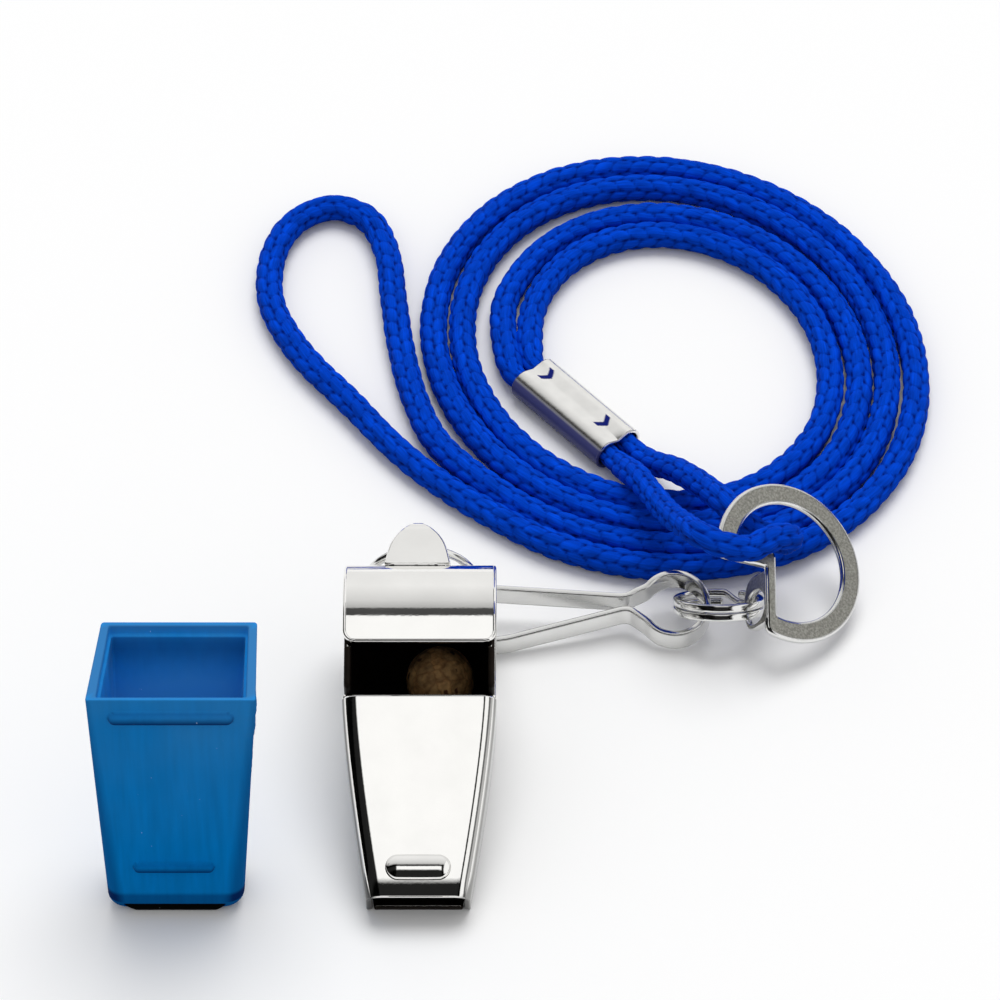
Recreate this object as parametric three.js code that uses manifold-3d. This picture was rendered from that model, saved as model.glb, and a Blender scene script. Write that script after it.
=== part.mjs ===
// Pea whistle on a looped lanyard, with its rubber mouth cap standing beside it.
// Millimetres, +Z up, table at z = 0. The barrel axis runs along X and the mouth
// points to -Y. All pieces are placed in a layout frame whose origin lies under the
// barrel axis on the whistle's mid-plane; ORIGIN_X and ORIGIN_Y move it at the end.
import * as THREE from "three";
import { mergeVertices } from "three/addons/utils/BufferGeometryUtils.js";
import Module from "manifold-3d";

const wasm = await Module();
wasm.setup();

// Row origin: bottom centre of the box round every piece but the cord and its crimp.
const ORIGIN_X = 9.02;
const ORIGIN_Y = -5.955;

// Whistle shell
const BARREL_R = 10.5;
const WIDTH = 20;
const SHEET = 0.8;
const SEAM = 0.1;
const LIP = 3.5;
const DAM_GAP = 0.3;
const PLATE_LEN = 27.2;
const SLIT = 1.3;
const MOUTH_H = 6;
const MOUTH_W = 13.3;
const MOUTH_CURVE = 1.35;
const EDGE_R = 2;
const CHEEK_INSET = 0.25;
const STUD_LEN = 8.4;
const STUD_R = 1.7;
const STUD_RISE = 1.2;
const STUD_BACK = 3.7;

// Lug and wire ring
const LUG_T = 0.9;
const LUG_TOP = 7.8;
const LUG_LOW = 1.3;
const LUG_REACH = 5.9;
const LUG_BEND = 2.6;
const LUG_W = 8.6;
const LUG_X = -0.4;
const LUG_SHOULDER = 2;
const LUG_TAPER = 0.6;
const RING_OD = 15.8;
const RING_WIRE = 1.1;
const RING_LEAN = 5;
const RING_TOP_Y = 12.4;
const RING_TOP_Z = 5.4;
const RING_GAP = 8;

// Pea
const PEA_R = 4.5;
const PEA_X = 2.6;
const PEA_GAP = 0.3;
const PEA_ANGLE = 25;

// Clip: an upright strip whose line lies in a plane that is rolled up at the back
const STRIP_H = 2.85;
const STRIP_T = 0.85;
const CLIP_ROLL = 22;
const CLIP_Y = 8.3;
const CLIP_Z = 0.3;
const EYE_X = 33.8;
const EYE_Q = 5.2;
const EYE_R = 4.4;
const NECK_X = 27.6;
const NECK_HALF = 0.75;
const BAR_X = 0.65;
const BAR_GAP = 0.45;
const LEG_BACK = 8;
const LEG_BEND_X = 11;

// Split ring
const SPLIT_R = 5.65;
const SPLIT_WIRE = 1;
const SPLIT_DEEP = 0.85;
const SPLIT_PITCH = 1.2;
const SPLIT_JOG = 12;
const SPLIT_START = 70;
const SPLIT_TILT = 35;
const SPLIT_OFF = 5.9;
const SPLIT_Z = 4.3;

// Flat ring
const FLAT_OD = 22.5;
const FLAT_BAND = 2.9;
const FLAT_T = 1;
const EAR_W = 7.7;
const EAR_DEPTH = 5.8;
const EAR_FOLD = -3.8;
const EAR_HOLE_R = 2.3;
const EAR_HOLE_S = 3;
const EAR_HOLE_B = -6.2;
const EAR_ANGLE = -30;
const FLAT_A = new THREE.Vector3(0.866, 0.187, -0.464);
const FLAT_B = new THREE.Vector3(0, 0.927, 0.375);

// Cord and crimp
const CORD_R = 1.9;
const CORD_Z = 1.95;
const CORD_STEP = 4.4;
const PAIR = 4.05;
const COIL_X = 33.6;
const COIL_Y = 63.8;
const COIL_RX = 21;
const COIL_RY = 24.9;
const COIL_GROW_X = 8.7;
const COIL_GROW_Y = 9.1;
const COIL_SHIFT_X = -0.755;
const COIL_SHIFT_Y = 1;
const COIL_SHEAR = 0.11;
const COIL_FROM = 0.04;
const COIL_TO = 1.85;
const LOOP_STEPS = 24;
const CRIMP_FROM = new THREE.Vector2(15, 59.6);
const CRIMP_TO = new THREE.Vector2(26.8, 45.2);
const CRIMP_BORE = 1.75;
const CRIMP_WALL = 0.45;
const CRIMP_HALF = 1.72;
const CRIMP_SQUEEZE = 0.8;
const CRIMP_EASE = 5.5;
const CRIMP_GRIP = 0.46;

// End loop of the neck cord and the short loop through the flat ring
const END_LOOP = [
  [2.1, 46.2], [-1.3, 55.1], [-3.4, 65.3], [-4.6, 75.5], [-5.8, 85.9], [-8.6, 92.6],
  [-13.3, 95], [-18, 92.9], [-21.4, 86.9], [-22, 75.5], [-17.7, 64.9], [-10.4, 54.7],
  [-4.1, 45.8], [1, 40],
];
const RING_LOOP = [
  [30.6, 42.2, 3.1], [34.6, 36.6, 6.6], [38.3, 29.8, 10], [41.5, 23.7, 12.2],
  [43.9, 22.4, 10], [46.6, 21.7, 8.8], [48.6, 20, 9.6], [49.1, 18.2, 12.4],
  [46.7, 16.1, 14.3], [43.6, 13.5, 15], [40.1, 12.7, 16.4], [37.3, 13.8, 17],
  [35, 19.2, 13.7], [32.9, 24.8, 10.5], [31.2, 30.4, 8], [29.3, 35.8, 6],
  [27.3, 40.7, 3.3],
];

// Mouth cap
const CAP_X = -31.2;
const CAP_Y = -37.6;
const CAP_H = 37.7;
const CAP_FOOT_W = 17.6;
const CAP_FOOT_D = 8.6;
const CAP_RIM_W = 21.2;
const CAP_RIM_D = 13.5;
const CAP_LEAN = 2.3;
const CAP_SWAY = 0.8;
const CAP_SKEW = 0.6;
const CAP_TAPER = 0.075;
const CAP_WALL = 1.2;
const CAP_CORNER = 2.4;
const CAP_RIM_CORNER = 0.9;
const CAP_RIB = 0.5;
const CAP_RIB_HIGH = 0.92;
const CAP_RIB_LOW = 0.23;

const rad = THREE.MathUtils.degToRad;
const vec = (x, y, z) => new THREE.Vector3(x, y, z);

const CHANNEL_U = BARREL_R + DAM_GAP;
const MOUTH_U = CHANNEL_U + PLATE_LEN;
const REACH = Math.hypot(MOUTH_U, BARREL_R - MOUTH_H);
const TILT = Math.asin(BARREL_R / REACH) + Math.atan2(BARREL_R - MOUTH_H, MOUTH_U);

const nickel = { color: 0xc9cacc, roughness: 0.16, metalness: 1 };
const steel = { color: 0xb9babd, roughness: 0.24, metalness: 1 };
const satin = { color: 0x9a9b9e, roughness: 0.45, metalness: 1 };
const alloy = { color: 0xd6d7d9, roughness: 0.38, metalness: 1 };
const cork = { color: 0x9a7148, roughness: 0.85, metalness: 0 };
const braid = { color: 0x0a3fd0, roughness: 0.7, metalness: 0 };
const rubber = { color: 0x0a66b0, roughness: 0.55, metalness: 0 };

const part = new THREE.Group();

// A closed body as a manifold solid.
function solid(geometry) {
  geometry.deleteAttribute("normal");
  geometry.deleteAttribute("uv");
  const merged = mergeVertices(geometry, 1e-4);
  return new wasm.Manifold(new wasm.Mesh({
    numProp: 3,
    vertProperties: new Float32Array(merged.attributes.position.array),
    triVerts: new Uint32Array(merged.index.array),
  }));
}

function geometryOf(body) {
  const mesh = body.getMesh();
  const geometry = new THREE.BufferGeometry();
  geometry.setAttribute("position", new THREE.BufferAttribute(mesh.vertProperties, 3));
  geometry.setIndex(new THREE.BufferAttribute(mesh.triVerts, 1));
  return geometry;
}

function add(name, geometry, finish) {
  geometry.translate(-ORIGIN_X, -ORIGIN_Y, 0);
  geometry.computeVertexNormals();
  const mesh = new THREE.Mesh(geometry, new THREE.MeshStandardMaterial(finish));
  mesh.name = name;
  part.add(mesh);
}

// Skin a row of loops of equal length and close both ends; contour is the flat loop.
function skin(loops, contour) {
  const n = loops[0].length;
  const points = [];
  for (const loop of loops) {
    for (const p of loop) points.push(p.x, p.y, p.z);
  }
  const index = [];
  for (let i = 0; i + 1 < loops.length; i++) {
    for (let j = 0; j < n; j++) {
      const a = i * n + j;
      const b = i * n + (j + 1) % n;
      index.push(a, b, a + n, b, b + n, a + n);
    }
  }
  const last = (loops.length - 1) * n;
  for (const [a, b, c] of THREE.ShapeUtils.triangulateShape(contour, [])) {
    index.push(a, c, b, last + a, last + b, last + c);
  }
  let volume = 0;
  const at = (k) => new THREE.Vector3().fromArray(points, 3 * k);
  for (let k = 0; k < index.length; k += 3) {
    volume += at(index[k]).dot(at(index[k + 1]).cross(at(index[k + 2])));
  }
  const geometry = new THREE.BufferGeometry();
  geometry.setAttribute("position", new THREE.Float32BufferAttribute(points, 3));
  geometry.setIndex(volume > 0 ? index : index.reverse());
  return geometry;
}

// Extrude a side profile (u towards the mouth, w up, both from the barrel axis) along X.
function across(shape, width, middle = 0, curveSegments = 20) {
  const geometry = new THREE.ExtrudeGeometry(shape, { depth: width, bevelEnabled: false, curveSegments });
  geometry.applyMatrix4(new THREE.Matrix4().makeBasis(vec(0, -1, 0), vec(0, 0, 1), vec(-1, 0, 0)));
  return geometry.translate(middle + width / 2, 0, 0);
}

// Whistle frame to layout frame: lean on the barrel and the mouth's lower edge.
function lay(geometry) {
  return geometry.rotateX(TILT).translate(0, 0, BARREL_R);
}

// Height of the mouthpiece's underside above the barrel axis at u.
function floorAt(u) {
  const k = (u - BARREL_R) / (MOUTH_U - BARREL_R);
  return k * (BARREL_R - MOUTH_H);
}

function channelHalf(u) {
  const k = Math.max((u - CHANNEL_U) / (MOUTH_U - CHANNEL_U), 0);
  return THREE.MathUtils.lerp(WIDTH / 2, MOUTH_W / 2, k ** MOUTH_CURVE);
}

// Barrel wrap: flat lip, three quarters of a turn, then the dam up to the windway slit.
const inner = BARREL_R - SHEET;
const wrap = new THREE.Shape();
wrap.moveTo(LIP, BARREL_R);
wrap.lineTo(0, BARREL_R);
wrap.absarc(0, 0, BARREL_R, Math.PI / 2, 2 * Math.PI, false);
wrap.lineTo(BARREL_R, BARREL_R - SHEET - SLIT);
wrap.lineTo(inner, BARREL_R - SHEET - SLIT);
wrap.lineTo(inner, 0);
wrap.absarc(0, 0, inner, 2 * Math.PI, Math.PI / 2, true);
wrap.lineTo(LIP, inner);
wrap.closePath();
add("barrel_wrap", lay(across(wrap, WIDTH, 0, 44)), nickel);

// Cheek plates inside the wrap, standing up beside the window
const cheek = new THREE.Shape();
const cheekR = inner - SEAM;
cheek.moveTo(LIP + SEAM, BARREL_R - 2 * SEAM);
cheek.lineTo(cheekR, BARREL_R - 2 * SEAM);
cheek.lineTo(cheekR, 0);
cheek.absarc(0, 0, cheekR, 0, -1.5 * Math.PI, true);
cheek.lineTo(LIP + SEAM, cheekR);
cheek.closePath();
const cheekMid = (WIDTH - SHEET) / 2 - CHEEK_INSET;
add("left_cheek", lay(across(cheek, SHEET, -cheekMid, 44)), nickel);
add("right_cheek", lay(across(cheek, SHEET, cheekMid, 44)), nickel);

// Mouthpiece channel: top plate and two folded sides, open below, with the tooth stud
function channelLoop(u) {
  const half = channelHalf(u);
  const low = floorAt(u);
  const path = (side, top, r) => {
    const pts = [];
    for (let i = 0; i <= 5; i++) {
      const t = (i / 5) * Math.PI / 2;
      pts.push([side - r + r * Math.cos(t), top - r + r * Math.sin(t)]);
    }
    return [[side, low], ...pts, ...pts.map(([x, w]) => [-x, w]).reverse(), [-side, low]];
  };
  const outer = path(half, BARREL_R, EDGE_R);
  const bore = path(half - SHEET, BARREL_R - SHEET, EDGE_R - SHEET);
  return [...outer, ...bore.reverse()];
}
function channelAt(u) {
  return channelLoop(u).map(([x, w]) => vec(x, -u, w));
}
const channelFlat = channelLoop(CHANNEL_U).map(([x, w]) => new THREE.Vector2(x, w));
const mouthRun = (from) => Array.from({ length: 9 }, (_, i) => from + (MOUTH_U - from) * i / 8);
const channel = solid(skin(mouthRun(CHANNEL_U).map(channelAt), channelFlat));
const stud = new THREE.CapsuleGeometry(STUD_R, STUD_LEN - 2 * STUD_R, 5, 14).rotateZ(Math.PI / 2);
const studHalf = (STUD_RISE + SHEET * 0.9) / 2;
stud.scale(1, 1, studHalf / STUD_R);
stud.translate(0, STUD_BACK - MOUTH_U, BARREL_R + STUD_RISE - studHalf);
add("mouthpiece_channel", lay(geometryOf(channel.add(solid(stud)))), nickel);

// Mouthpiece floor plate between the channel's sides
function floorLoop(u) {
  const half = channelHalf(u) - SHEET - 2 * SEAM;
  const low = floorAt(u);
  return [vec(-half, -u, low), vec(half, -u, low), vec(half, -u, low + SHEET), vec(-half, -u, low + SHEET)];
}
const box2 = [[-1, 0], [1, 0], [1, 1], [-1, 1]].map(([x, y]) => new THREE.Vector2(x, y));
const floorStart = CHANNEL_U + SEAM;
add("mouthpiece_floor", lay(skin(mouthRun(floorStart).map(floorLoop), box2)), nickel);

// Lug: a strip loop on the back of the barrel, narrowing towards its bend
const lugR = BARREL_R + SEAM;
const onBarrel = (w) => -Math.sqrt(lugR * lugR - w * w);
const lugBack = -(BARREL_R + LUG_REACH);
const lugTurn = LUG_BEND - LUG_T;
const band = new THREE.Shape();
band.moveTo(onBarrel(LUG_TOP), LUG_TOP);
band.lineTo(lugBack + LUG_BEND, LUG_TOP);
band.absarc(lugBack + LUG_BEND, LUG_TOP - LUG_BEND, LUG_BEND, Math.PI / 2, Math.PI, false);
band.absarc(lugBack + LUG_BEND, LUG_LOW + LUG_BEND, LUG_BEND, Math.PI, 1.5 * Math.PI, false);
band.lineTo(onBarrel(LUG_LOW), LUG_LOW);
band.lineTo(onBarrel(LUG_LOW + LUG_T), LUG_LOW + LUG_T);
band.lineTo(lugBack + LUG_BEND, LUG_LOW + LUG_T);
band.absarc(lugBack + LUG_BEND, LUG_LOW + LUG_BEND, lugTurn, 1.5 * Math.PI, Math.PI, true);
band.absarc(lugBack + LUG_BEND, LUG_TOP - LUG_BEND, lugTurn, Math.PI, Math.PI / 2, true);
band.lineTo(onBarrel(LUG_TOP - LUG_T), LUG_TOP - LUG_T);
band.closePath();
const tongue = new THREE.Shape();
const tongueEnd = BARREL_R + LUG_REACH + SEAM;
tongue.moveTo(-LUG_W / 2, 0);
tongue.lineTo(LUG_W / 2, 0);
const shoulder = BARREL_R - LUG_SHOULDER;
tongue.lineTo(LUG_W / 2 - LUG_TAPER, shoulder);
tongue.absellipse(0, shoulder, LUG_W / 2 - LUG_TAPER, tongueEnd - shoulder, 0, Math.PI, false, 0);
tongue.closePath();
const tonguePrism = new THREE.ExtrudeGeometry(tongue, { depth: 2 * BARREL_R, bevelEnabled: false, curveSegments: 16 });
tonguePrism.translate(0, 0, -BARREL_R);
const lug = solid(across(band, LUG_W, 0, 8)).intersect(solid(tonguePrism));
add("ring_lug", geometryOf(lug).translate(LUG_X, 0, BARREL_R), nickel);

// Cork pea, resting in the barrel
const peaTurn = rad(PEA_ANGLE);
const pea = new THREE.SphereGeometry(PEA_R, 20, 14);
const peaOrbit = inner - PEA_R - PEA_GAP;
pea.translate(PEA_X, -peaOrbit * Math.sin(peaTurn), BARREL_R - peaOrbit * Math.cos(peaTurn));
add("cork_pea", pea, cork);

// Loops of a wire that follows centres, with two section directions per centre
function wireLoops(stations, half1, half2, sides, turn = 0) {
  return stations.map(({ p, d1, d2, grow = 1 }) => {
    const loop = [];
    for (let j = 0; j < sides; j++) {
      const t = turn + (j / sides) * 2 * Math.PI;
      const q = p.clone().addScaledVector(d1, grow * half1 * Math.cos(t));
      loop.push(q.addScaledVector(d2, grow * half2 * Math.sin(t)));
    }
    return loop;
  });
}
function polygon(sides) {
  const at = (j) => (j / sides) * 2 * Math.PI;
  return Array.from({ length: sides }, (_, j) => new THREE.Vector2(Math.cos(at(j)), Math.sin(at(j))));
}

// Wire ring hanging in the lug, its butt joint at the bottom
const lean = rad(RING_LEAN);
const ringR = (RING_OD - RING_WIRE) / 2;
const ringDown = vec(0, Math.sin(lean), -Math.cos(lean));
const ringSide = vec(1, 0, 0);
const ringAxis = ringSide.clone().cross(ringDown);
const ringTop = vec(0, RING_TOP_Y, BARREL_R + RING_TOP_Z);
const ringMid = ringTop.clone().addScaledVector(ringDown, ringR);
const ringStations = [];
for (let i = 0; i <= 44; i++) {
  const t = rad(RING_GAP / 2 + (i / 44) * (360 - RING_GAP));
  const d1 = ringDown.clone().multiplyScalar(Math.cos(t)).addScaledVector(ringSide, Math.sin(t));
  ringStations.push({ p: ringMid.clone().addScaledVector(d1, ringR), d1, d2: ringAxis });
}
add("whistle_ring", skin(wireLoops(ringStations, RING_WIRE / 2, RING_WIRE / 2, 8), polygon(8)), steel);

// Clip strip: centre line in its rolled plane (p along X, q up the slope)
const roll = rad(CLIP_ROLL);
const clipBasis = new THREE.Matrix4().makeBasis(
  vec(1, 0, 0), vec(0, Math.cos(roll), Math.sin(roll)), vec(0, 0, 1));
const neckQ = EYE_Q + 0.25;
const eyeTurn = rad(145);
const eyeIn = [EYE_X + EYE_R * Math.cos(eyeTurn), EYE_Q - EYE_R * Math.sin(eyeTurn)];
const hookX = BAR_X - STRIP_T - BAR_GAP;
const strip = new THREE.Path();
strip.moveTo(BAR_X, LEG_BACK - 1.6);
strip.lineTo(BAR_X, 1.8);
strip.quadraticCurveTo(BAR_X, 0, BAR_X + 1.8, 0);
strip.lineTo(LEG_BEND_X - 2, 0);
strip.quadraticCurveTo(LEG_BEND_X, 0, LEG_BEND_X + 2, 0.65);
strip.lineTo(NECK_X - 1.5, neckQ - NECK_HALF - 0.5);
strip.quadraticCurveTo(NECK_X, neckQ - NECK_HALF, NECK_X + 0.8, neckQ - NECK_HALF - 0.7);
strip.lineTo(eyeIn[0], eyeIn[1]);
strip.absarc(EYE_X, EYE_Q, EYE_R, -eyeTurn, eyeTurn, false);
strip.lineTo(NECK_X + 0.8, neckQ + NECK_HALF + 0.7);
strip.quadraticCurveTo(NECK_X, neckQ + NECK_HALF, NECK_X - 1.5, neckQ + NECK_HALF + 0.1);
strip.lineTo(hookX + 1.8, LEG_BACK);
strip.quadraticCurveTo(hookX, LEG_BACK, hookX, LEG_BACK - 1.8);
strip.lineTo(hookX, 1.8);
const stripLine = strip.getPoints(9).filter((p, i, all) => i === 0 || p.distanceTo(all[i - 1]) > 1e-3);
const stripSides = [[], []];
stripLine.forEach((p, i) => {
  const before = stripLine[Math.max(i - 1, 0)];
  const after = stripLine[Math.min(i + 1, stripLine.length - 1)];
  const along = after.clone().sub(before).normalize();
  const normal = new THREE.Vector2(-along.y, along.x).multiplyScalar(STRIP_T / 2);
  stripSides[0].push(p.clone().add(normal));
  stripSides[1].push(p.clone().sub(normal));
});
const stripShape = new THREE.Shape([...stripSides[0], ...stripSides[1].reverse()]);
const clip = new THREE.ExtrudeGeometry(stripShape, { depth: STRIP_H, bevelEnabled: false });
clip.applyMatrix4(clipBasis).translate(0, CLIP_Y, CLIP_Z);
add("lanyard_clip", clip, steel);

// Split ring: two turns of wire through the clip's eye
const tip = rad(SPLIT_TILT);
const splitBack = vec(0, Math.cos(tip), -Math.sin(tip));
const splitAxis = vec(0, Math.sin(tip), Math.cos(tip));
const splitMid = vec(EYE_X + SPLIT_OFF, CLIP_Y + EYE_Q * Math.cos(roll) + 0.2, SPLIT_Z);
const splitDir = (t) => vec(Math.cos(t), 0, 0).addScaledVector(splitBack, Math.sin(t));
const splitStations = [];
const splitSteps = 72;
for (let i = 0; i <= splitSteps; i++) {
  const turn = SPLIT_JOG + (i / splitSteps) * (720 - 2 * SPLIT_JOG);
  const rise = THREE.MathUtils.smoothstep(turn, 360 - SPLIT_JOG, 360 + SPLIT_JOG) - 0.5;
  const d1 = splitDir(rad(turn + SPLIT_START));
  const p = splitMid.clone().addScaledVector(d1, SPLIT_R).addScaledVector(splitAxis, rise * SPLIT_PITCH);
  splitStations.push({ p, d1, d2: splitAxis });
}
const splitLoops = wireLoops(splitStations, SPLIT_WIRE / 2, SPLIT_DEEP / 2, 6);
add("small_split_ring", skin(splitLoops, polygon(6)), steel);

// Flat ring: a 9-shaped plate whose ear folds down and takes the split ring
const flatR = FLAT_OD / 2;
const flatIn = flatR - FLAT_BAND;
const flatN = FLAT_A.clone().cross(FLAT_B).normalize();
const flatB = flatN.clone().cross(FLAT_A).normalize();
const flatA = FLAT_A.clone().normalize();
const earHole = splitMid.clone().addScaledVector(splitDir(rad(EAR_ANGLE)), SPLIT_R);
const flatMid = earHole.clone().addScaledVector(flatA, -EAR_FOLD - FLAT_T / 2);
flatMid.addScaledVector(flatB, -EAR_HOLE_B).addScaledVector(flatN, EAR_HOLE_S);
const barIn = EAR_FOLD + 1.65;
const tailLow = -1.4;
const tailTop = 1.2;
const face = new THREE.Shape();
face.moveTo(EAR_FOLD, -Math.sqrt(flatR ** 2 - EAR_FOLD ** 2));
face.absarc(0, 0, flatR, -Math.PI + Math.acos(-EAR_FOLD / flatR), Math.PI - Math.asin(tailLow / flatR), false);
face.lineTo(EAR_FOLD, tailLow);
face.closePath();
const hole = new THREE.Path();
hole.moveTo(barIn, -Math.sqrt(flatIn ** 2 - barIn ** 2));
hole.absarc(0, 0, flatIn, -Math.PI + Math.acos(-barIn / flatIn), Math.PI - Math.asin(tailTop / flatIn), false);
hole.lineTo(barIn, tailTop);
hole.closePath();
face.holes.push(hole);
const plate = new THREE.ExtrudeGeometry(face, { depth: FLAT_T, bevelEnabled: false, curveSegments: 40 });
plate.translate(0, 0, -FLAT_T / 2);
const earMid = -5.45;
const earRound = EAR_W / 2;
const ear = new THREE.Shape();
ear.moveTo(earMid - earRound, 0);
ear.lineTo(earMid - earRound, EAR_DEPTH - 2.4);
ear.quadraticCurveTo(earMid - earRound, EAR_DEPTH, earMid, EAR_DEPTH);
ear.quadraticCurveTo(earMid + earRound, EAR_DEPTH, earMid + earRound, EAR_DEPTH - 2.4);
ear.lineTo(earMid + earRound, 0);
ear.closePath();
const earBore = new THREE.Path();
earBore.absarc(EAR_HOLE_B, EAR_HOLE_S, EAR_HOLE_R, 0, 2 * Math.PI, false);
ear.holes.push(earBore);
const earPlate = new THREE.ExtrudeGeometry(ear, { depth: FLAT_T, bevelEnabled: false, curveSegments: 10 });
earPlate.applyMatrix4(new THREE.Matrix4().makeBasis(vec(0, 1, 0), vec(0, 0, -1), vec(-1, 0, 0)));
earPlate.translate(EAR_FOLD + FLAT_T, 0, FLAT_T / 2);
const flatRing = geometryOf(solid(plate).add(solid(earPlate)));
const flatBasis = new THREE.Matrix4().makeBasis(flatA, flatB, flatN);
flatRing.applyMatrix4(flatBasis.setPosition(flatMid));
add("lanyard_ring", flatRing, satin);

// Crimp: a figure-eight sleeve
const crimpRun = CRIMP_TO.clone().sub(CRIMP_FROM);
const crimpLen = crimpRun.length();
const crimpDir = crimpRun.clone().normalize();
const crimpSide = new THREE.Vector2(-crimpDir.y, crimpDir.x);
const crimpZ = CRIMP_BORE + CRIMP_WALL;
function eight(path, r) {
  const cut = Math.acos(CRIMP_HALF / r);
  path.absarc(CRIMP_HALF, 0, r, -Math.PI + cut, Math.PI - cut, false);
  path.absarc(-CRIMP_HALF, 0, r, cut, -cut + 2 * Math.PI, false);
  path.closePath();
  return path;
}
const sleeve = eight(new THREE.Shape(), CRIMP_BORE + CRIMP_WALL);
sleeve.holes.push(eight(new THREE.Path(), CRIMP_BORE));
const crimp = new THREE.ExtrudeGeometry(sleeve, { depth: crimpLen, bevelEnabled: false, curveSegments: 20 });
crimp.applyMatrix4(new THREE.Matrix4().makeBasis(
  vec(crimpSide.x, crimpSide.y, 0), vec(0, 0, 1), vec(crimpDir.x, crimpDir.y, 0)));
crimp.translate(CRIMP_FROM.x, CRIMP_FROM.y, crimpZ);
add("cord_crimp", crimp, alloy);

// Tube along a route of points: hexagons with a corner up, equally spaced; the crimp
// squeezes both ends, and they ease out to full size past it
function cordStations(route, step) {
  const curve = new THREE.CatmullRomCurve3(route, false, "centripetal");
  const full = curve.getLength();
  const count = Math.round(full / step);
  curve.arcLengthDivisions = 4000;
  curve.updateArcLengths();
  const up = vec(0, 0, 1);
  const stations = [];
  for (let i = 0; i <= count; i++) {
    const p = curve.getPointAt(i / count);
    const along = curve.getTangentAt(i / count);
    const d2 = up.clone().cross(along).normalize();
    const inside = Math.min(i, count - i) / count * full - CRIMP_GRIP * crimpLen;
    const grow = THREE.MathUtils.lerp(CRIMP_SQUEEZE, 1, THREE.MathUtils.smoothstep(inside, 0, CRIMP_EASE));
    stations.push({ p, d1: along.clone().cross(d2), d2, grow });
  }
  return stations;
}
function crimpPoint(k, side) {
  const flat = CRIMP_FROM.clone().addScaledVector(crimpRun, k).addScaledVector(crimpSide, side * CRIMP_HALF);
  return vec(flat.x, flat.y, crimpZ);
}

// Neck cord: both strands of a doubled cord wind out in a sheared oval spiral
// x = cx + rx cos(a), y = cy + ry sin(a) - shear rx cos(a), a = 180 deg - 360 deg t
function coilPoint(t, side) {
  const a = Math.PI - 2 * Math.PI * t;
  const rx = COIL_RX + COIL_GROW_X * t + side * PAIR / 2;
  const ry = COIL_RY + COIL_GROW_Y * t + side * PAIR / 2;
  const x = COIL_X + COIL_SHIFT_X * t + rx * Math.cos(a);
  return vec(x, COIL_Y + COIL_SHIFT_Y * t + ry * Math.sin(a) - COIL_SHEAR * rx * Math.cos(a), CORD_Z);
}
function coilStrand(side) {
  const points = [CRIMP_GRIP, 0.24, 0.02, -0.1].map((k) => crimpPoint(k, -side));
  const count = Math.round((COIL_TO - COIL_FROM) * LOOP_STEPS);
  for (let i = 0; i <= count; i++) {
    points.push(coilPoint(COIL_FROM + (COIL_TO - COIL_FROM) * i / count, side));
  }
  return points;
}
const neckRoute = [
  ...coilStrand(-1),
  ...END_LOOP.map(([x, y]) => vec(x, y, CORD_Z)),
  ...coilStrand(1).reverse(),
];
const neckStations = cordStations(neckRoute, CORD_STEP);
const neckLoops = wireLoops(neckStations, CORD_R, CORD_R, 6);
add("neck_cord", skin(neckLoops, polygon(6)), braid);

// Least gap of the neck cord to itself, on the points of its hexagons
let least = Infinity;
const apart = Math.ceil(5 * CORD_R / CORD_STEP) + 1;
for (let i = 0; i < neckLoops.length; i++) {
  for (let j = i + apart; j < neckLoops.length; j++) {
    if (neckStations[i].p.distanceTo(neckStations[j].p) > 4 * CORD_R) continue;
    for (const p of neckLoops[i]) {
      for (const q of neckLoops[j]) least = Math.min(least, p.distanceTo(q));
    }
  }
}
console.log(`neck cord: least gap to itself ${least.toFixed(2)} mm`);

// Short loop: out of the crimp, under the flat ring's band, up through it and back over
const ringRoute = [
  ...[1 - CRIMP_GRIP, 0.76, 0.98].map((k) => crimpPoint(k, 1)),
  ...RING_LOOP.map(([x, y, z]) => vec(x, y, z)),
  ...[0.98, 0.76, 1 - CRIMP_GRIP].map((k) => crimpPoint(k, -1)),
];
const ringLoops = wireLoops(cordStations(ringRoute, 2.4), CORD_R, CORD_R, 6);
add("ring_loop_cord", skin(ringLoops, polygon(6)), braid);

// Mouth cap: a tapered sleeve with rounded corners, open at both ends, two ribs in front
function capLoop(k, inset) {
  const half = THREE.MathUtils.lerp(CAP_FOOT_W, CAP_RIM_W, k) / 2 - inset;
  const depth = THREE.MathUtils.lerp(CAP_FOOT_D, CAP_RIM_D, k);
  const r = THREE.MathUtils.lerp(CAP_CORNER, CAP_RIM_CORNER, k) - inset * 0.5;
  const loop = [];
  for (const [sx, sy, start] of [[1, -1, -90], [1, 1, 0], [-1, 1, 90], [-1, -1, 180]]) {
    for (let i = 0; i <= 5; i++) {
      const t = rad(start + i * 18);
      const x = sx * (half - r) + r * Math.cos(t);
      const y = sy * (depth / 2 - inset - r) + r * Math.sin(t);
      const far = y / depth + 0.5;
      const slant = x * (1 - CAP_TAPER * far) + CAP_SWAY * k + CAP_SKEW * far;
      loop.push(vec(CAP_X + slant, CAP_Y + CAP_LEAN * k + depth / 2 + y, CAP_H * k));
    }
  }
  return loop;
}
function capSleeve(from, to, inset) {
  const loops = [capLoop(from, inset), capLoop(to, inset)];
  return solid(skin(loops, loops[0].map((p) => new THREE.Vector2(p.x, p.y))));
}
function capRib(k, width, height) {
  const rib = new THREE.CapsuleGeometry(height / 2, width - height, 4, 10).rotateZ(Math.PI / 2);
  rib.scale(1, 2 * CAP_RIB / height * 2, 1);
  return solid(rib.translate(CAP_X + CAP_SWAY * k, CAP_Y + CAP_LEAN * k, CAP_H * k));
}
const cap = capSleeve(0, 1, 0).subtract(capSleeve(-0.05, 1.05, CAP_WALL));
const highRib = capRib(CAP_RIB_HIGH, CAP_RIM_W - 5.6, 1.8);
const lowRib = capRib(CAP_RIB_LOW, CAP_FOOT_W - 7.3, 1.5);
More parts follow.
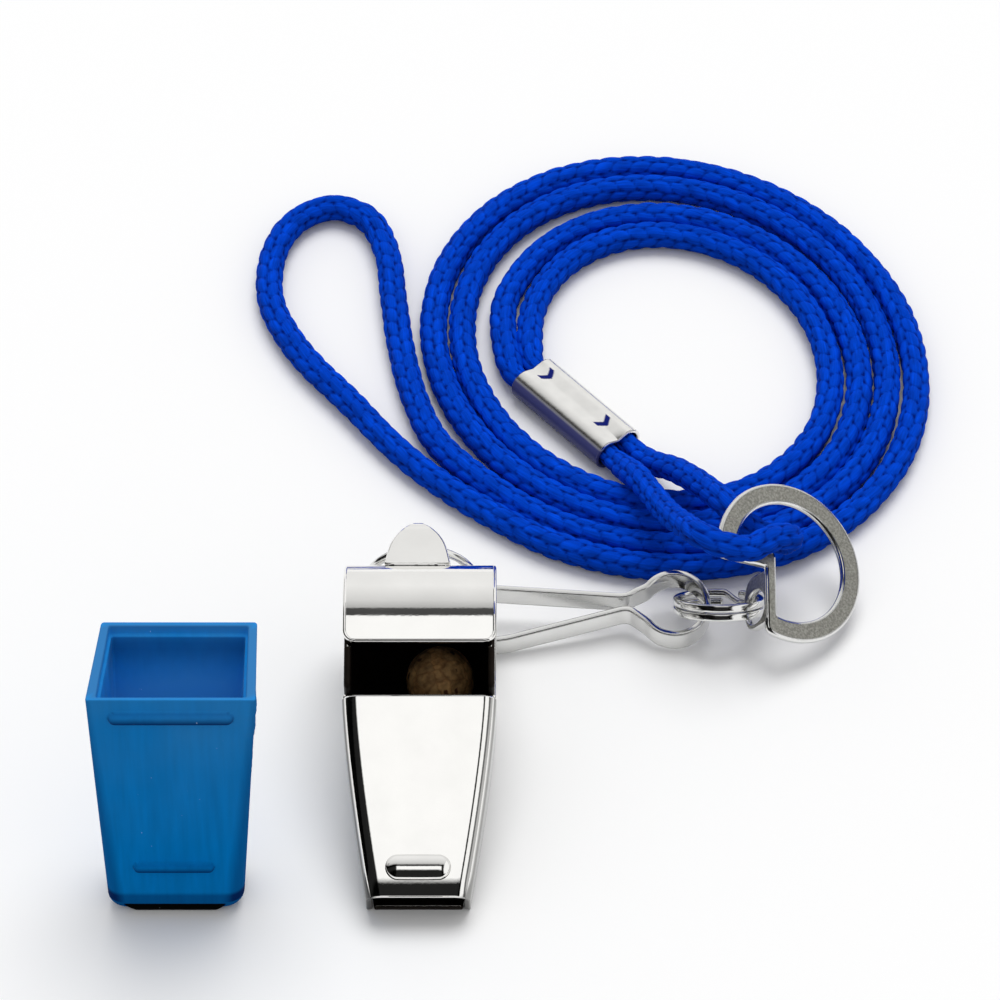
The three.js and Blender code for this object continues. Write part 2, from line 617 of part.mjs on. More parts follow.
add("mouth_cap", geometryOf(cap.add(highRib).add(lowRib)), rubber);

export default part;
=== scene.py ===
"""Pea whistle of plated sheet brass on a braided lanyard, with its rubber mouth cap.

Every CAD node is replaced by a smooth surface on the same sizes. Lengths in the
formulas are millimetres in a layout frame: X = 0 is the whistle's middle plane,
Y = 0 the barrel's axis, Z = 0 the table. `piece` moves them to the row frame in metres.
"""

import math
from types import SimpleNamespace

import bmesh
import bpy
import numpy as np
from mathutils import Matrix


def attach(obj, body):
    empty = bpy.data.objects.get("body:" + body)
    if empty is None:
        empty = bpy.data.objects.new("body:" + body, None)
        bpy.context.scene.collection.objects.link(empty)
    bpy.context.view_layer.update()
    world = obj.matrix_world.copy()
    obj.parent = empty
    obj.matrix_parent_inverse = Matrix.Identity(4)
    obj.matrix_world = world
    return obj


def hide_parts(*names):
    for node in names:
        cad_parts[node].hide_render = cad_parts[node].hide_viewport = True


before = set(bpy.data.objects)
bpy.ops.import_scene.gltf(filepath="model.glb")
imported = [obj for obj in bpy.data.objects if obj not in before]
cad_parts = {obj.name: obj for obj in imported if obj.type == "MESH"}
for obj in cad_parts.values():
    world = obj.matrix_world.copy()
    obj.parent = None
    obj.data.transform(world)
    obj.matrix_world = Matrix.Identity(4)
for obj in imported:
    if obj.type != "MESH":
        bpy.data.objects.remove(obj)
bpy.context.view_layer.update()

bl_info = {
    "name": "Pea whistle with lanyard",
    "version": (1, 0, 0),
    "blender": (4, 5, 0),
    "location": "View3D > Sidebar > Whistle",
    "description": "Builds a plated pea whistle, its lanyard and its rubber mouth cap",
    "category": "Add Mesh",
}

TAU = 2 * math.pi
MM = 0.001
ACROSS = np.array([1.0, 0, 0])
UP = np.array([0, 0, 1.0])
# The row frame's origin in the layout frame
ORIGIN = np.array([9.02, -5.955, 0.0])

# Points of the neck cord's end loop, in the table's plane
END_LOOP = np.array([
    [2.1, 46.2], [-1.3, 55.1], [-3.4, 65.3], [-4.6, 75.5], [-5.8, 85.9], [-8.6, 92.6],
    [-13.3, 95.0], [-18.0, 92.9], [-21.4, 86.9], [-22.0, 75.5], [-17.7, 64.9],
    [-10.4, 54.7], [-4.1, 45.8], [1.0, 40.0],
])
# Points of the short loop from the crimp, through the flat ring and back
RING_LOOP = np.array([
    [30.6, 42.2, 3.1], [34.6, 36.6, 6.6], [38.3, 29.8, 10.0], [41.5, 23.7, 12.2],
    [43.9, 22.4, 10.0], [46.6, 21.7, 8.8], [48.6, 20.0, 9.6], [49.1, 18.2, 12.4],
    [46.7, 16.1, 14.3], [43.6, 13.5, 15.0], [40.1, 12.7, 16.4], [37.3, 13.8, 17.0],
    [35.0, 19.2, 13.7], [32.9, 24.8, 10.5], [31.2, 30.4, 8.0], [29.3, 35.8, 6.0],
    [27.3, 40.7, 3.3],
])

# Directions in the flat ring's face, away from its ear and up along the ear's fold
FLAT_DOWN = np.array([0.866, 0.187, -0.464])
FLAT_UP = np.array([0, 0.927, 0.375])

# The cap's inner ledge and its foot as (height, inset): from the rim's inner edge, from the toe
CAP_LEDGE = np.array([[-1.0, 0], [-1.15, 0.06], [-1.25, 0.28], [-1.45, 0.34]])
CAP_FOOT = np.array([[1.5, 1.9], [0.9, 2.4], [0.3, 2.75], [0.0, 2.7]])
# The cap's ribs: place as a part of its height, margin left of its width, and their own height
RIM_RIB = (0.92, 5.6, 1.8)
FOOT_RIB = (0.23, 7.3, 1.5)

# Brightness of the studio's cards by the direction's Y, X or Z, from -1 to 1
FRONT_TO_BACK = [
    (-1.0, 0.015), (-0.5, 0.015), (-0.34, 1.0), (0.0, 1.0), (0.018, 0.06), (0.19, 0.07), (0.225, 0.45),
    (0.42, 0.66), (0.8, 0.86), (1.0, 0.82),
]
LEFT_TO_RIGHT = [(-1.0, 0.012), (-0.24, 0.015), (-0.13, 1.0), (0.32, 1.0), (0.37, 0.03), (1.0, 0.03)]
HIGH_UP = [(-1.0, 0.0), (0.55, 0.0), (0.7, 1.0), (1.0, 1.0)]
WELL_BACK = [(-1.0, 0.0), (0.16, 0.0), (0.3, 1.0), (1.0, 1.0)]
OVER_TABLE = [(-1.0, 0.0), (0.08, 0.0), (0.2, 1.0), (1.0, 1.0)]
FAR_BACK = [(-1.0, 0.0), (0.36, 0.0), (0.46, 1.0), (1.0, 1.0)]
RIGHT_CARD = [
    (-1.0, 0.0), (0.5, 0.0), (0.55, 0.95), (0.83, 0.95), (0.86, 0.12), (0.92, 0.12), (0.95, 0.45),
    (1.0, 0.45),
]

# Zones of a plate's faces
OUTSIDE, INSIDE, RIM = range(3)

# Colour sockets of a mix node, its settings by blend, and plain tones
A, B, MIXED = 6, 7, 2
MIX = {"data_type": "RGBA"}
MULTIPLY = {**MIX, "blend_type": "MULTIPLY"}
LIGHTEN = {**MIX, "blend_type": "LIGHTEN"}
WHITE = (1.0, 1.0, 1.0, 1.0)
BLACK = (0.0, 0.0, 0.0, 1.0)


def linear(code):
    """Linear RGBA of an sRGB hex colour."""
    channels = np.array([int(code[i : i + 2], 16) / 255 for i in (0, 2, 4)])
    low = channels / 12.92
    high = ((channels + 0.055) / 1.055) ** 2.4
    return (*np.where(channels <= 0.04045, low, high).tolist(), 1.0)


def length(name, size, text):
    """Length property with its default in millimetres."""
    return bpy.props.FloatProperty(
        name=name, description=text, default=size * MM, unit="LENGTH", precision=5)


def angle(name, degrees, text):
    """Angle property with its default in degrees."""
    return bpy.props.FloatProperty(
        name=name, description=text, default=math.radians(degrees), subtype="ANGLE")


def number(name, value, text):
    """Property that is a plain number."""
    return bpy.props.FloatProperty(name=name, description=text, default=value)


def colour(name, code, text):
    """Colour property with its default as an sRGB hex code."""
    return bpy.props.FloatVectorProperty(
        name=name, description=text, default=linear(code), size=4, subtype="COLOR", min=0, max=1)


class WhistleSizes(bpy.types.PropertyGroup):
    """Sizes of the whistle's body, pea and wire ring."""

    barrel_r: length("Barrel radius", 10.5, "Outside radius of the barrel")
    width: length("Width", 20, "Width over the cheek plates")
    sheet: length("Sheet", 0.8, "Thickness of the sheet metal")
    seam: length("Seam", 0.1, "Gap between plates")
    lip: length("Lip", 3.5, "Length of the flat lip over the window")
    channel_u: length("Plate start", 10.8, "Distance from the axis to the top plate")
    mouth_u: length("Mouth", 38.0, "Distance from the axis to the mouth")
    slit: length("Slit", 1.9, "Height of the windway slit")
    mouth_h: length("Mouth height", 6, "Height of the mouthpiece at the mouth")
    mouth_w: length("Mouth width", 13.3, "Width of the mouthpiece at the mouth")
    cheek_inset: length("Cheek inset", 0.25, "How far the cheeks stand inside the wrap's edges")
    edge_r: length("Edge radius", 2.0, "Radius of the folded edges")
    edge: length("Edge rounding", 0.15, "Rounding of cut sheet edges")
    droop: length("Mouth droop", 0.75, "How far the top plate dips at the mouth")
    droop_run: length("Droop run", 3.5, "Length over which the top plate dips")
    soft_edge: length("Soft edge", 0.34, "Rounding of the wrap's and the cheeks' edges")
    stud_len: length("Stud length", 8.4, "Length of the tooth stud")
    stud_r: length("Stud radius", 1.7, "Half the width of the tooth stud")
    stud_foot: length("Stud foot", 0.5, "Height of the tooth stud's shoulder")
    stud_rise: length("Stud rise", 0.4, "Height of the tooth stud's crown over its shoulder")
    stud_tip: length("Stud tip", 0.17, "How much higher the tooth stud stands at its front")
    stud_back: length("Stud place", 3.7, "Distance from the mouth to the stud")
    lug_t: length("Lug sheet", 0.9, "Thickness of the lug strip")
    lug_top: length("Lug top", 7.8, "Top of the lug above the axis")
    lug_low: length("Lug foot", 1.3, "Foot of the lug above the axis")
    lug_reach: length("Lug reach", 5.9, "How far the lug stands off the barrel")
    lug_bend: length("Lug bend", 2.6, "Outside radius of the lug's bends")
    lug_w: length("Lug width", 7.2, "Width of the lug without its flare")
    lug_flare: length("Lug flare", 0.75, "How much the lug flares on each side at its root")
    lug_tip: length("Lug tip", 1.0, "How far short of the lug's reach its round end closes")
    lug_neck: length("Lug neck", 1.5, "Width of the strip round the lug's far bend")
    lug_x: length("Lug side", -0.4, "Lug's distance from the middle plane")
    pea_r: length("Pea radius", 4.5, "Radius of the cork pea")
    pea_x: length("Pea side", 2.6, "Pea's distance from the middle plane")
    pea_orbit: length("Pea orbit", 4.9, "Pea's distance from the barrel axis")
    pea_turn: angle("Pea angle", 25, "Where the pea rests in the barrel")
    ring_od: length("Ring diameter", 15.8, "Outside diameter of the wire ring")
    ring_wire: length("Ring wire", 1.1, "Wire of the ring in the lug")
    ring_lean: angle("Ring lean", 5, "How far the ring leans back")
    ring_top_y: length("Ring top, back", 12.4, "Top of the ring behind the axis")
    ring_top_z: length("Ring top, height", 5.4, "Top of the ring above the axis")
    ring_gap: angle("Ring joint", 8, "Opening of the ring's butt joint")
    lip_corner: length("Lip corner", 1.3, "Radius of the lip's corners")
    solder_r: length("Solder", 0.3, "Radius of the solder beads")
    solder_in: length("Solder place", 0.1, "How far inside the lug's faces the beads lie")
    solder_short: length("Solder margin", 0.5, "How far short of the lug's sides the beads end")
    root_gap: length("Root gap", 0.05, "Gap between the lug and the barrel")
    mouth_curve: number("Mouth curve", 1.35, "Power of the mouthpiece's narrowing")
    lug_curve: number("Lug curve", 3.5, "Power of the lug's narrowing")
    stud_crown: number("Stud crown", 0.85, "Part of the stud's half width that its crown takes")


class ChainSizes(bpy.types.PropertyGroup):
    """Sizes of the clip, the split ring and the flat ring."""

    strip_h: length("Strip height", 2.85, "Height of the clip's strip")
    strip_t: length("Strip thickness", 0.85, "Thickness of the clip's strip")
    roll: angle("Clip roll", 22, "How far the clip's plane tips up")
    clip_y: length("Clip back", 8.3, "Front edge of the clip behind the axis")
    clip_z: length("Clip height", 0.3, "Lowest line of the clip over the table")
    eye_x: length("Eye place", 33.8, "Middle of the clip's eye")
    eye_q: length("Eye rise", 5.2, "Middle of the eye up the clip's plane")
    eye_r: length("Eye radius", 4.4, "Radius of the eye")
    neck_x: length("Neck place", 27.6, "Where the clip's legs meet")
    neck_half: length("Neck", 0.75, "Half the gap between the legs at the neck")
    neck_rise: length("Neck rise", 0.25, "How far the neck lies above the eye's middle")
    strip_edge: length("Strip edge", 0.2, "Rounding of the strip's edges")
    hook_bend: length("Hook bend", 1.8, "How far the bends of bar and hook reach")
    eye_turn: angle("Eye turn", 145, "Half the turn of the eye's arc")
    bar_x: length("Bar place", 0.65, "Side of the clip's hooked bar")
    bar_gap: length("Bar gap", 0.45, "Gap between bar and hook")
    leg_back: length("Leg spread", 8, "Back leg's distance from the front leg")
    leg_bend: length("Leg bend", 11, "Where the front leg turns towards the neck")
    split_r: length("Split ring radius", 5.65, "Middle radius of the split ring")
    split_wire: length("Split wire", 1.0, "Radial size of the split ring's wire")
    split_deep: length("Split wire depth", 1.08, "Axial size of the split ring's wire")
    split_pitch: length("Split pitch", 1.2, "Rise from one turn to the next")
    split_jog: angle("Split jog", 12, "Half the turn in which the wire steps up")
    split_start: angle("Split start", 70, "Where the split ring's wire starts")
    split_tilt: angle("Split tilt", 35, "Tilt of the split ring")
    split_off: length("Split offset", 5.9, "Split ring's middle from the eye's middle")
    split_back: length("Split back", 0.2, "How far behind the eye's middle the split ring lies")
    split_z: length("Split height", 4.3, "Split ring's middle over the table")
    flat_od: length("Flat ring diameter", 22.5, "Outside diameter of the flat ring")
    flat_band: length("Flat ring band", 2.9, "Width of the flat ring's band")
    flat_t: length("Flat ring sheet", 1.0, "Thickness of the flat ring")
    flat_edge: length("Flat ring edge", 0.4, "Rounding of the flat ring's edges")
    ear_edge: length("Ear edge", 0.25, "Rounding of the ear's edges")
    ear_w: length("Ear width", 7.7, "Width of the folded ear")
    ear_depth: length("Ear depth", 5.8, "Depth of the folded ear")
    ear_fold: length("Ear fold", -3.8, "Line on which the ear folds down")
    ear_mid: length("Ear middle", -5.45, "Middle of the ear along the fold")
    ear_hole_r: length("Ear hole", 2.3, "Radius of the hole in the ear")
    ear_hole_s: length("Ear hole depth", 3.0, "Hole's middle below the ring's top face")
    ear_hole_b: length("Ear hole place", -6.2, "Hole's middle along the fold")
    ear_bar: length("Ear bar", 1.65, "Width of the bar that the ear hangs from")
    ear_round: length("Ear round", 2.6, "Length of the ear's round end")
    tail_low: length("Tail outside", -1.4, "Lower edge of the bar's tail")
    tail_top: length("Tail inside", 1.2, "Upper edge of the bar's tail")
    ear_turn: angle("Ear angle", -30, "Where the ear sits on the split ring")


class LanyardSizes(bpy.types.PropertyGroup):
    """Sizes of the cords and the crimp."""

    cord_r: length("Cord radius", 1.9, "Radius of the braided cord")
    cord_swell: length("Cord swell", 0.1, "How much the neck cord fattens in its loose coil")
    cord_z: length("Cord height", 2.0, "Height of the cord's middle over the table")
    pair: length("Pair spacing", 4.05, "Spacing of the doubled strands")
    braid_pitch: length("Braid pitch", 2.75, "Advance of a stitch along the cord")
    braid_lift: length("Braid relief", 0.4, "Depth of the grooves between stitches")
    braid_twist: length("Braid twist", 260, "Length in which the columns turn once round the cord")
    coil_x: length("Coil X", 33.6, "Middle of the coil, across")
    coil_y: length("Coil Y", 63.8, "Middle of the coil, back")
    coil_rx: length("Coil radius X", 21, "Innermost half width of the coil")
    coil_ry: length("Coil radius Y", 24.9, "Innermost half depth of the coil")
    grow_x: length("Coil growth X", 8.7, "Growth of the half width per turn")
    grow_y: length("Coil growth Y", 9.1, "Growth of the half depth per turn")
    shift_x: length("Coil shift X", -0.755, "Sideways drift per turn")
    shift_y: length("Coil shift Y", 1.0, "Backward drift per turn")
    crimp_bore: length("Crimp bore", 1.75, "Radius of each bore of the crimp")
    crimp_wall: length("Crimp wall", 0.45, "Wall of the crimp")
    crimp_half: length("Crimp spacing", 1.72, "Half the distance between the bores")
    crimp_valley: length("Crimp valley", 0.45, "How much deeper the crimp's top groove is at its ends")
    crimp_ease: length("Crimp ease", 5.5, "Distance in which the squeezed cord swells again")
    crimp_edge: length("Crimp edge", 0.16, "Rounding of the crimp's ends")
    crimp_groove: length("Crimp groove", 0.14, "Depth of the groove between the crimp's lobes")
    valley_run: length("Valley run", 1.2, "Distance in which the deeper groove fades")
    crimp_squeeze: number("Crimp squeeze", 0.8, "Part of its size to which the crimp presses the cord")
    crimp_grip: number("Crimp grip", 0.46, "Part of the crimp that each cord end fills")
    coil_shear: number("Coil shear", 0.11, "Slant of the oval coil")
    columns: bpy.props.IntProperty(
        name="Columns", description="Columns of stitches round the cord", default=6)


class CapSizes(bpy.types.PropertyGroup):
    """Sizes of the rubber mouth cap."""

    x: length("Cap X", -31.2, "Middle of the cap, across")
    y: length("Cap Y", -37.6, "Front of the cap's foot")
    high: length("Height", 37.7, "Height of the cap")
    foot_w: length("Foot width", 17.6, "Width at the foot")
    foot_d: length("Foot depth", 8.6, "Depth at the foot")
    rim_w: length("Rim width", 21.2, "Width at the rim")
    rim_d: length("Rim depth", 13.5, "Depth at the rim")
    lean: length("Lean", 2.3, "How far the front leans back")
    wall: length("Wall", 1.2, "Wall of the cap")
    corner: length("Corner", 2.4, "Radius of the upright edges")
    rim_corner: length("Rim corner", 0.4, "Radius of the corners at the rim")
    toe: length("Toe", 2.4, "Radius of the rounded toe")
    slot: length("Slot", 1.9, "Height of the slot under the front")
    scoop: length("Scoop", 6.0, "How far the inner back wall curves forward below the rim")
    back_thin: length("Back thinning", 0.5, "How much thinner the back wall is at the rim")
    rib: length("Rib", 0.75, "Height of the raised ribs")
    front_thin: length("Front thinning", 0.65, "How much thinner the front wall is at the rim")
    sway: length("Sway", 0.8, "How far the rim stands to the right of the foot")
    skew: length("Skew", 0.6, "How far the back stands to the right of the front")
    lip_r: length("Lip rounding", 0.22, "Rounding of the rim's edges")
    ledge: length("Ledge", 0.34, "Width of the ledge below the rim's inner edge")
    thin_run: length("Thinning run", 8, "Height over which the walls thin to the rim")
    scoop_from: length("Scoop start", 1.6, "Depth below the rim at which the scoop starts")
    scoop_run: length("Scoop run", 14, "Depth over which the scoop curves")
    flash: length("Flash", 0.22, "How far the mould line's ripples stand out")
    taper: number("Taper", 0.075, "Part by which the back is narrower than the front")


class Finishes(bpy.types.PropertyGroup):
    """Colours of the materials."""

    nickel: colour("Nickel plate", "f5f4f1", "Bright plate of the whistle")
    tarnish: colour("Bare brass", "241d17", "Tarnished inside of the shell")
    steel: colour("Plated steel", "e6e6e4", "Bright wire and strip")
    satin: colour("Satin steel", "9b9a93", "Tumbled face of the flat ring")
    alloy: colour("Soft alloy", "f3f2ef", "Crimp sleeve")
    cork: colour("Cork", "c69a62", "Pea")
    cork_speck: colour("Cork specks", "b3a695", "Tint of the pea's fine specks")
    cork_crack: colour("Cork cracks", "ddcebf", "Tint of the cracks between the pea's grains")
    cork_pit: colour("Cork pits", "7c5945", "Tint of the pea's pits")
    braid: colour("Braided cord", "0048d6", "Crowns of the braid")
    # The braid's groove colour: a near black blue, painted shade between stitches
    groove: colour("Braid grooves", "00126a", "Grooves of the braid")
    rubber: colour("Moulded rubber", "0086da", "Mouth cap")
    # Paler blue that the cap takes towards its rim, and painted light low in its inner back wall
    pale_and_painted_light: colour("Rubber bloom", "3a90d6", "Chalky bloom on the mouth cap")
    rubbed: colour("Rubbed rubber", "387dbb", "Rubbed edges of the mouth cap")
    # Painted shade: the cap's colour in its creases and corners, where shade falls
    crease_shade: colour("Rubber creases", "002a66", "Grime in the mouth cap's creases")
    lint: colour("Lint", "959ea6", "Light that specks of lint add on the mouth cap")
    floor: colour("Floor", "fbfbfb", "Table top")
    bounce: colour("Floor bounce", "a6a6a6", "Table top as matt surfaces see it")


class StageSizes(bpy.types.PropertyGroup):
    """Camera and light."""

    elevation: angle("Elevation", 45, "Camera's angle above the table")
    distance: length("Distance", 800, "Camera's distance from its target")
    lens: number("Lens", 209.84, "Focal length in mm")
    aim: bpy.props.FloatVectorProperty(
        name="Aim", description="Point the camera looks at", default=(0.00143, 0.043455, 0.0),
        subtype="XYZ")
    dome: number("Dome", 0.6, "Strength of the white dome")
    cards: number("Cards", 1.08, "Strength of the cards in mirrors")
    lamp: number("Lamp", 1.5, "Strength of the soft lamp")
    lamp_width: angle("Lamp width", 42, "Angle that the soft lamp covers")
    lamp_back: angle("Lamp back", 24, "How far the lamp stands behind the zenith")
    lamp_side: angle("Lamp side", 6, "How far the lamp stands to the right of the zenith")


GROUPS = {
    "whistle_body": WhistleSizes, "whistle_chain": ChainSizes, "whistle_lanyard": LanyardSizes,
    "whistle_cap": CapSizes, "whistle_finish": Finishes, "whistle_stage": StageSizes,
}


def sizes(group):
    """The group's values, lengths in millimetres and angles in radians."""
    values = {}
    for p in group.bl_rna.properties:
        if p.identifier not in ("rna_type", "name"):
            value = getattr(group, p.identifier)
            values[p.identifier] = value / MM if p.unit == "LENGTH" else value
    return SimpleNamespace(**values)


def unit(vectors):
    """The vectors at length 1."""
    return vectors / np.linalg.norm(vectors, axis=-1, keepdims=True)


def fade(gap, width):
    """0 while the gap is below nothing, 1 from the width on, straight between."""
    return np.clip(gap / width, 0, 1)


def ease(k):
    """Smooth S from 0 to 1."""
    return 3 * k**2 - 2 * k**3


def hump(place, middle, width):
    """Bell that is 1 at its middle and falls to 1/e at the width."""
    return np.exp(-(((place - middle) / width) ** 2))


def ripples(points, wave, seed, count=24):
    """Smooth random field in -1..1: sines of random direction with about that wavelength."""
    rng = np.random.default_rng(seed)
    ways = unit(rng.normal(size=(count, 3))) * (TAU / wave) * rng.uniform(0.6, 1.5, (count, 1))
    waves = np.sin(points.reshape(-1, 3) @ ways.T + rng.uniform(0, TAU, count))
    return (waves.sum(1) / math.sqrt(count / 2) / 2).reshape(points.shape[:-1])


def quads(rows, cols, wrap_rows=False, wrap_cols=False, start=0):
    """Index quads of a grid of rows x cols points."""
    i = np.arange(rows if wrap_rows else rows - 1)
    j = np.arange(cols if wrap_cols else cols - 1)
    i, j = np.meshgrid(i, j, indexing="ij")
    k, m = (i + 1) % rows, (j + 1) % cols
    faces = np.stack([i * cols + j, k * cols + j, k * cols + m, i * cols + m], -1)
    return faces.reshape(-1, 4) + start


def tube(loops):
    """Closed skin over loops[station, around]: quads between stations and a fan at each end."""
    rows, cols = loops.shape[:2]
    points = np.concatenate([loops.reshape(-1, 3), loops[:1].mean(1), loops[-1:].mean(1)])
    faces = quads(rows, cols, wrap_cols=True).tolist()
    ring = np.arange(cols)
    nxt = (ring + 1) % cols
    last = (rows - 1) * cols
    faces += np.stack([ring, nxt, np.full(cols, rows * cols)], -1).tolist()
    faces += np.stack([last + nxt, last + ring, np.full(cols, rows * cols + 1)], -1).tolist()
    return points, faces


def plate(mid, thick, edge, wrap=False, steps=4):
    """Sheet of one thickness on a mid-surface grid: the grid moved half the thickness
    along its normal to either side, and a rim whose two corners are arcs of radius edge
    that reach edge beyond the grid's border. With wrap, the columns close on themselves.
    The faces come with their zone: upper side OUTSIDE, lower side INSIDE, or RIM."""
    rows, cols = mid.shape[:2]
    count = rows * cols
    along = np.roll(mid, -1, 1) - np.roll(mid, 1, 1) if wrap else np.gradient(mid, axis=1)
    normal = unit(np.cross(np.gradient(mid, axis=0), along)).reshape(-1, 3)
    mid = mid.reshape(-1, 3)
    index = np.arange(count).reshape(rows, cols)
    if wrap:
        borders = [index[0], index[-1][::-1]]
        within = [index[1], index[-2][::-1]]
    else:
        around = np.concatenate([index[0, :-1], index[:-1, -1], index[-1, :0:-1], index[:0:-1, 0]])
        row, col = np.clip(around // cols, 1, rows - 2), np.clip(around % cols, 1, cols - 2)
        borders = [around]
        within = [index[row, col]]
    upper = quads(rows, cols, wrap_cols=wrap)
    points = [mid + normal * thick / 2, mid - normal * thick / 2]
    faces = [upper, upper[:, ::-1] + count]
    turns = np.linspace(0, math.pi / 2, steps)[1:]
    rise = thick / 2 - edge + edge * np.cos(turns)
    reach = edge * np.sin(turns)
    total = 2 * count
    for loop, near in zip(borders, within):
        m, n = mid[loop], normal[loop]
        out = unit(np.cross(np.roll(m, -1, 0) - np.roll(m, 1, 0), n))
        out *= np.sign((out * (m - mid[near])).sum(-1, keepdims=True))
        rim = [m + out * r + n * h for r, h in zip(reach, rise)]
        rim += [m + out * r - n * h for r, h in zip(reach[::-1], rise[::-1])]
        ids = [total + k * len(loop) + np.arange(len(loop)) for k in range(len(rim))]
        ids = [loop, *ids, loop + count]
        total += len(rim) * len(loop)
        points += rim
        for a, b in zip(ids[:-1], ids[1:]):
            faces.append(np.stack([a, b, np.roll(b, -1), np.roll(a, -1)], -1))
    sides = [len(faces[0]), len(faces[1]), sum(len(f) for f in faces[2:])]
    return np.concatenate(points), np.concatenate(faces).tolist(), np.repeat([OUTSIDE, INSIDE, RIM], sides)


def outward(points, faces):
    """The faces, turned about if the volume they close comes out negative."""
    spots = points - points.mean(0)
    first, second, third, fourth = (spots[[f[k] for f in faces]] for k in (0, 1, 2, -1))
    volume = (np.cross(first, second) * third).sum() + (np.cross(first, third) * fourth).sum()
    return faces if volume > 0 else [f[::-1] for f in faces]


def piece(name, body, material, shells, node=None, weld=False, other=None):
    """Object from closed shells (points in layout mm, faces, zones if it has any), riding a
    body. weld joins doubled points, and other gives a zone's faces a material of their own."""
    points, faces, zones = [], [], []
    start = 0
    for spots, sides, *zone in shells:
        faces += [tuple(k + start for k in f) for f in outward(spots, sides)]
        points.append(spots)
        zones.append(zone[0] if zone else np.zeros(len(sides), dtype=int))
        start += len(spots)
    mesh = bpy.data.meshes.new(name)
    mesh.from_pydata(((np.concatenate(points) - ORIGIN) * MM).tolist(), [], faces)
    mesh.materials.append(material)
    zones = np.concatenate(zones)
    slots = np.zeros(len(zones), dtype=np.int32)
    for k, (zone, extra) in enumerate((other or {}).items()):
        mesh.materials.append(extra)
        slots[zones == zone] = k + 1
    mesh.polygons.foreach_set("material_index", slots)
    if weld:
        work = bmesh.new()
        work.from_mesh(mesh)
        bmesh.ops.remove_doubles(work, verts=work.verts, dist=1e-6)
        bmesh.ops.dissolve_degenerate(work, edges=work.edges, dist=1e-7)
        work.to_mesh(mesh)
        work.free()
    mesh.shade_smooth()
    obj = bpy.data.objects.new(name, mesh)
    bpy.context.scene.collection.objects.link(obj)
    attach(obj, body)
    if node:
        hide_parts(node)
    return obj


def attribute(obj, name, values):
    """Point attribute with one number per vertex."""
    data = obj.data.attributes.new(name, "FLOAT", "POINT").data
    data.foreach_set("value", np.asarray(values, dtype=np.float32).ravel())


def spread(low, high, count, margin=0.12):
    """Even steps from low to high with one more point close to each end."""
    inside = np.linspace(low, high, count)
    return np.sort(np.concatenate([inside, [low + margin, high - margin]]))


def distances(points):
    """Distance along a polyline to each of its points."""
    return np.concatenate([[0], np.cumsum(np.linalg.norm(np.diff(points, axis=0), axis=1))])


def smooth_line(points, step, soften=0):
    """A polyline resampled to even steps, its corners softened by averaging neighbours."""
    for _ in range(soften):
        inner = (points[:-2] + 2 * points[1:-1] + points[2:]) / 4
        points = np.concatenate([points[:1], inner, points[-1:]])
    run = distances(points)
    at = np.linspace(0, run[-1], max(int(round(run[-1] / step)), 2) + 1)
    return np.stack([np.interp(at, run, points[:, k]) for k in range(points.shape[1])], -1)


def rounded(loop, passes):
    """Closed loop whose corners are softened by averaging neighbours."""
    for _ in range(passes):
        loop = (np.roll(loop, 1, 0) + 2 * loop + np.roll(loop, -1, 0)) / 4
    return loop


def soft_loop(points, count, passes):
    """Closed loop resampled to count points with its corners softened."""
    closed = np.concatenate([points, points[:1]])
    run = distances(closed)
    at = np.linspace(0, run[-1], count, endpoint=False)
    return rounded(np.stack([np.interp(at, run, closed[:, k]) for k in range(2)], -1), passes)


def bend(a, b, c, count=9):
    """Quadratic curve from a to c with control point b."""
    t = np.linspace(0, 1, count)[:, None]
    a, b, c = (np.array(p, dtype=float) for p in (a, b, c))
    return (1 - t) ** 2 * a + 2 * t * (1 - t) * b + t**2 * c


def through(points, count=16):
    """Centripetal Catmull-Rom curve through points, count steps per span."""
    ends = np.concatenate([[2 * points[0] - points[1]], points, [2 * points[-1] - points[-2]]])
    gap = np.linalg.norm(np.diff(ends, axis=0), axis=1) ** 0.5
    p0, p1, p2, p3 = ends[:-3], ends[1:-2], ends[2:-1], ends[3:]
    d0, d1, d2 = (gap[k : len(gap) - 2 + k, None] for k in range(3))
    slope1 = ((p1 - p0) / d0 - (p2 - p0) / (d0 + d1) + (p2 - p1) / d1) * d1
    slope2 = ((p2 - p1) / d1 - (p3 - p1) / (d1 + d2) + (p3 - p2) / d2) * d1
    t = np.linspace(0, 1, count, endpoint=False)[None, :, None]
    a, b, c, d = (v[:, None] for v in (p1, p2, slope1, slope2))
    curve = (1 - ease(t)) * a + ease(t) * b + (t**3 - 2 * t**2 + t) * c + (t**3 - t**2) * d
    return np.concatenate([curve.reshape(-1, points.shape[1]), points[-1:]])


def on_whistle(s, x, u, w):
    """Layout points from the whistle's own frame: u towards the mouth, w up from the axis.
    The whistle rests on its barrel and the mouth's lower edge."""
    rest = math.hypot(s.mouth_u, s.barrel_r - s.mouth_h)
    tilt = math.asin(s.barrel_r / rest) + math.atan2(s.barrel_r - s.mouth_h, s.mouth_u)
    x, u, w = np.broadcast_arrays(x, u, w)
    y = -u * math.cos(tilt) - w * math.sin(tilt)
    z = s.barrel_r + w * math.cos(tilt) - u * math.sin(tilt)
    return np.stack([x, y, z], -1)


def height_on(s, points):
    """Height w in the whistle's own frame of layout points."""
    axis = on_whistle(s, 0, 0, 0)
    return (points - axis) @ (on_whistle(s, 0, 0, 1) - axis)


def floor_at(s, u):
    """Height of the floor's underside, straight from the barrel to the mouth."""
    return (u - s.barrel_r) / (s.mouth_u - s.barrel_r) * (s.barrel_r - s.mouth_h)


def dip_at(s, u):
    """How far the top plate dips, by a parabola over the last stretch."""
    return s.droop * fade(u - s.mouth_u + s.droop_run, s.droop_run) ** 2


def half_at(s, u):
    """Half width of the mouthpiece, narrowing as a power of the way to the mouth."""
    k = fade(u - s.channel_u, s.mouth_u - s.channel_u) ** s.mouth_curve
    return s.width / 2 * (1 - k) + s.mouth_w / 2 * k


# Materials


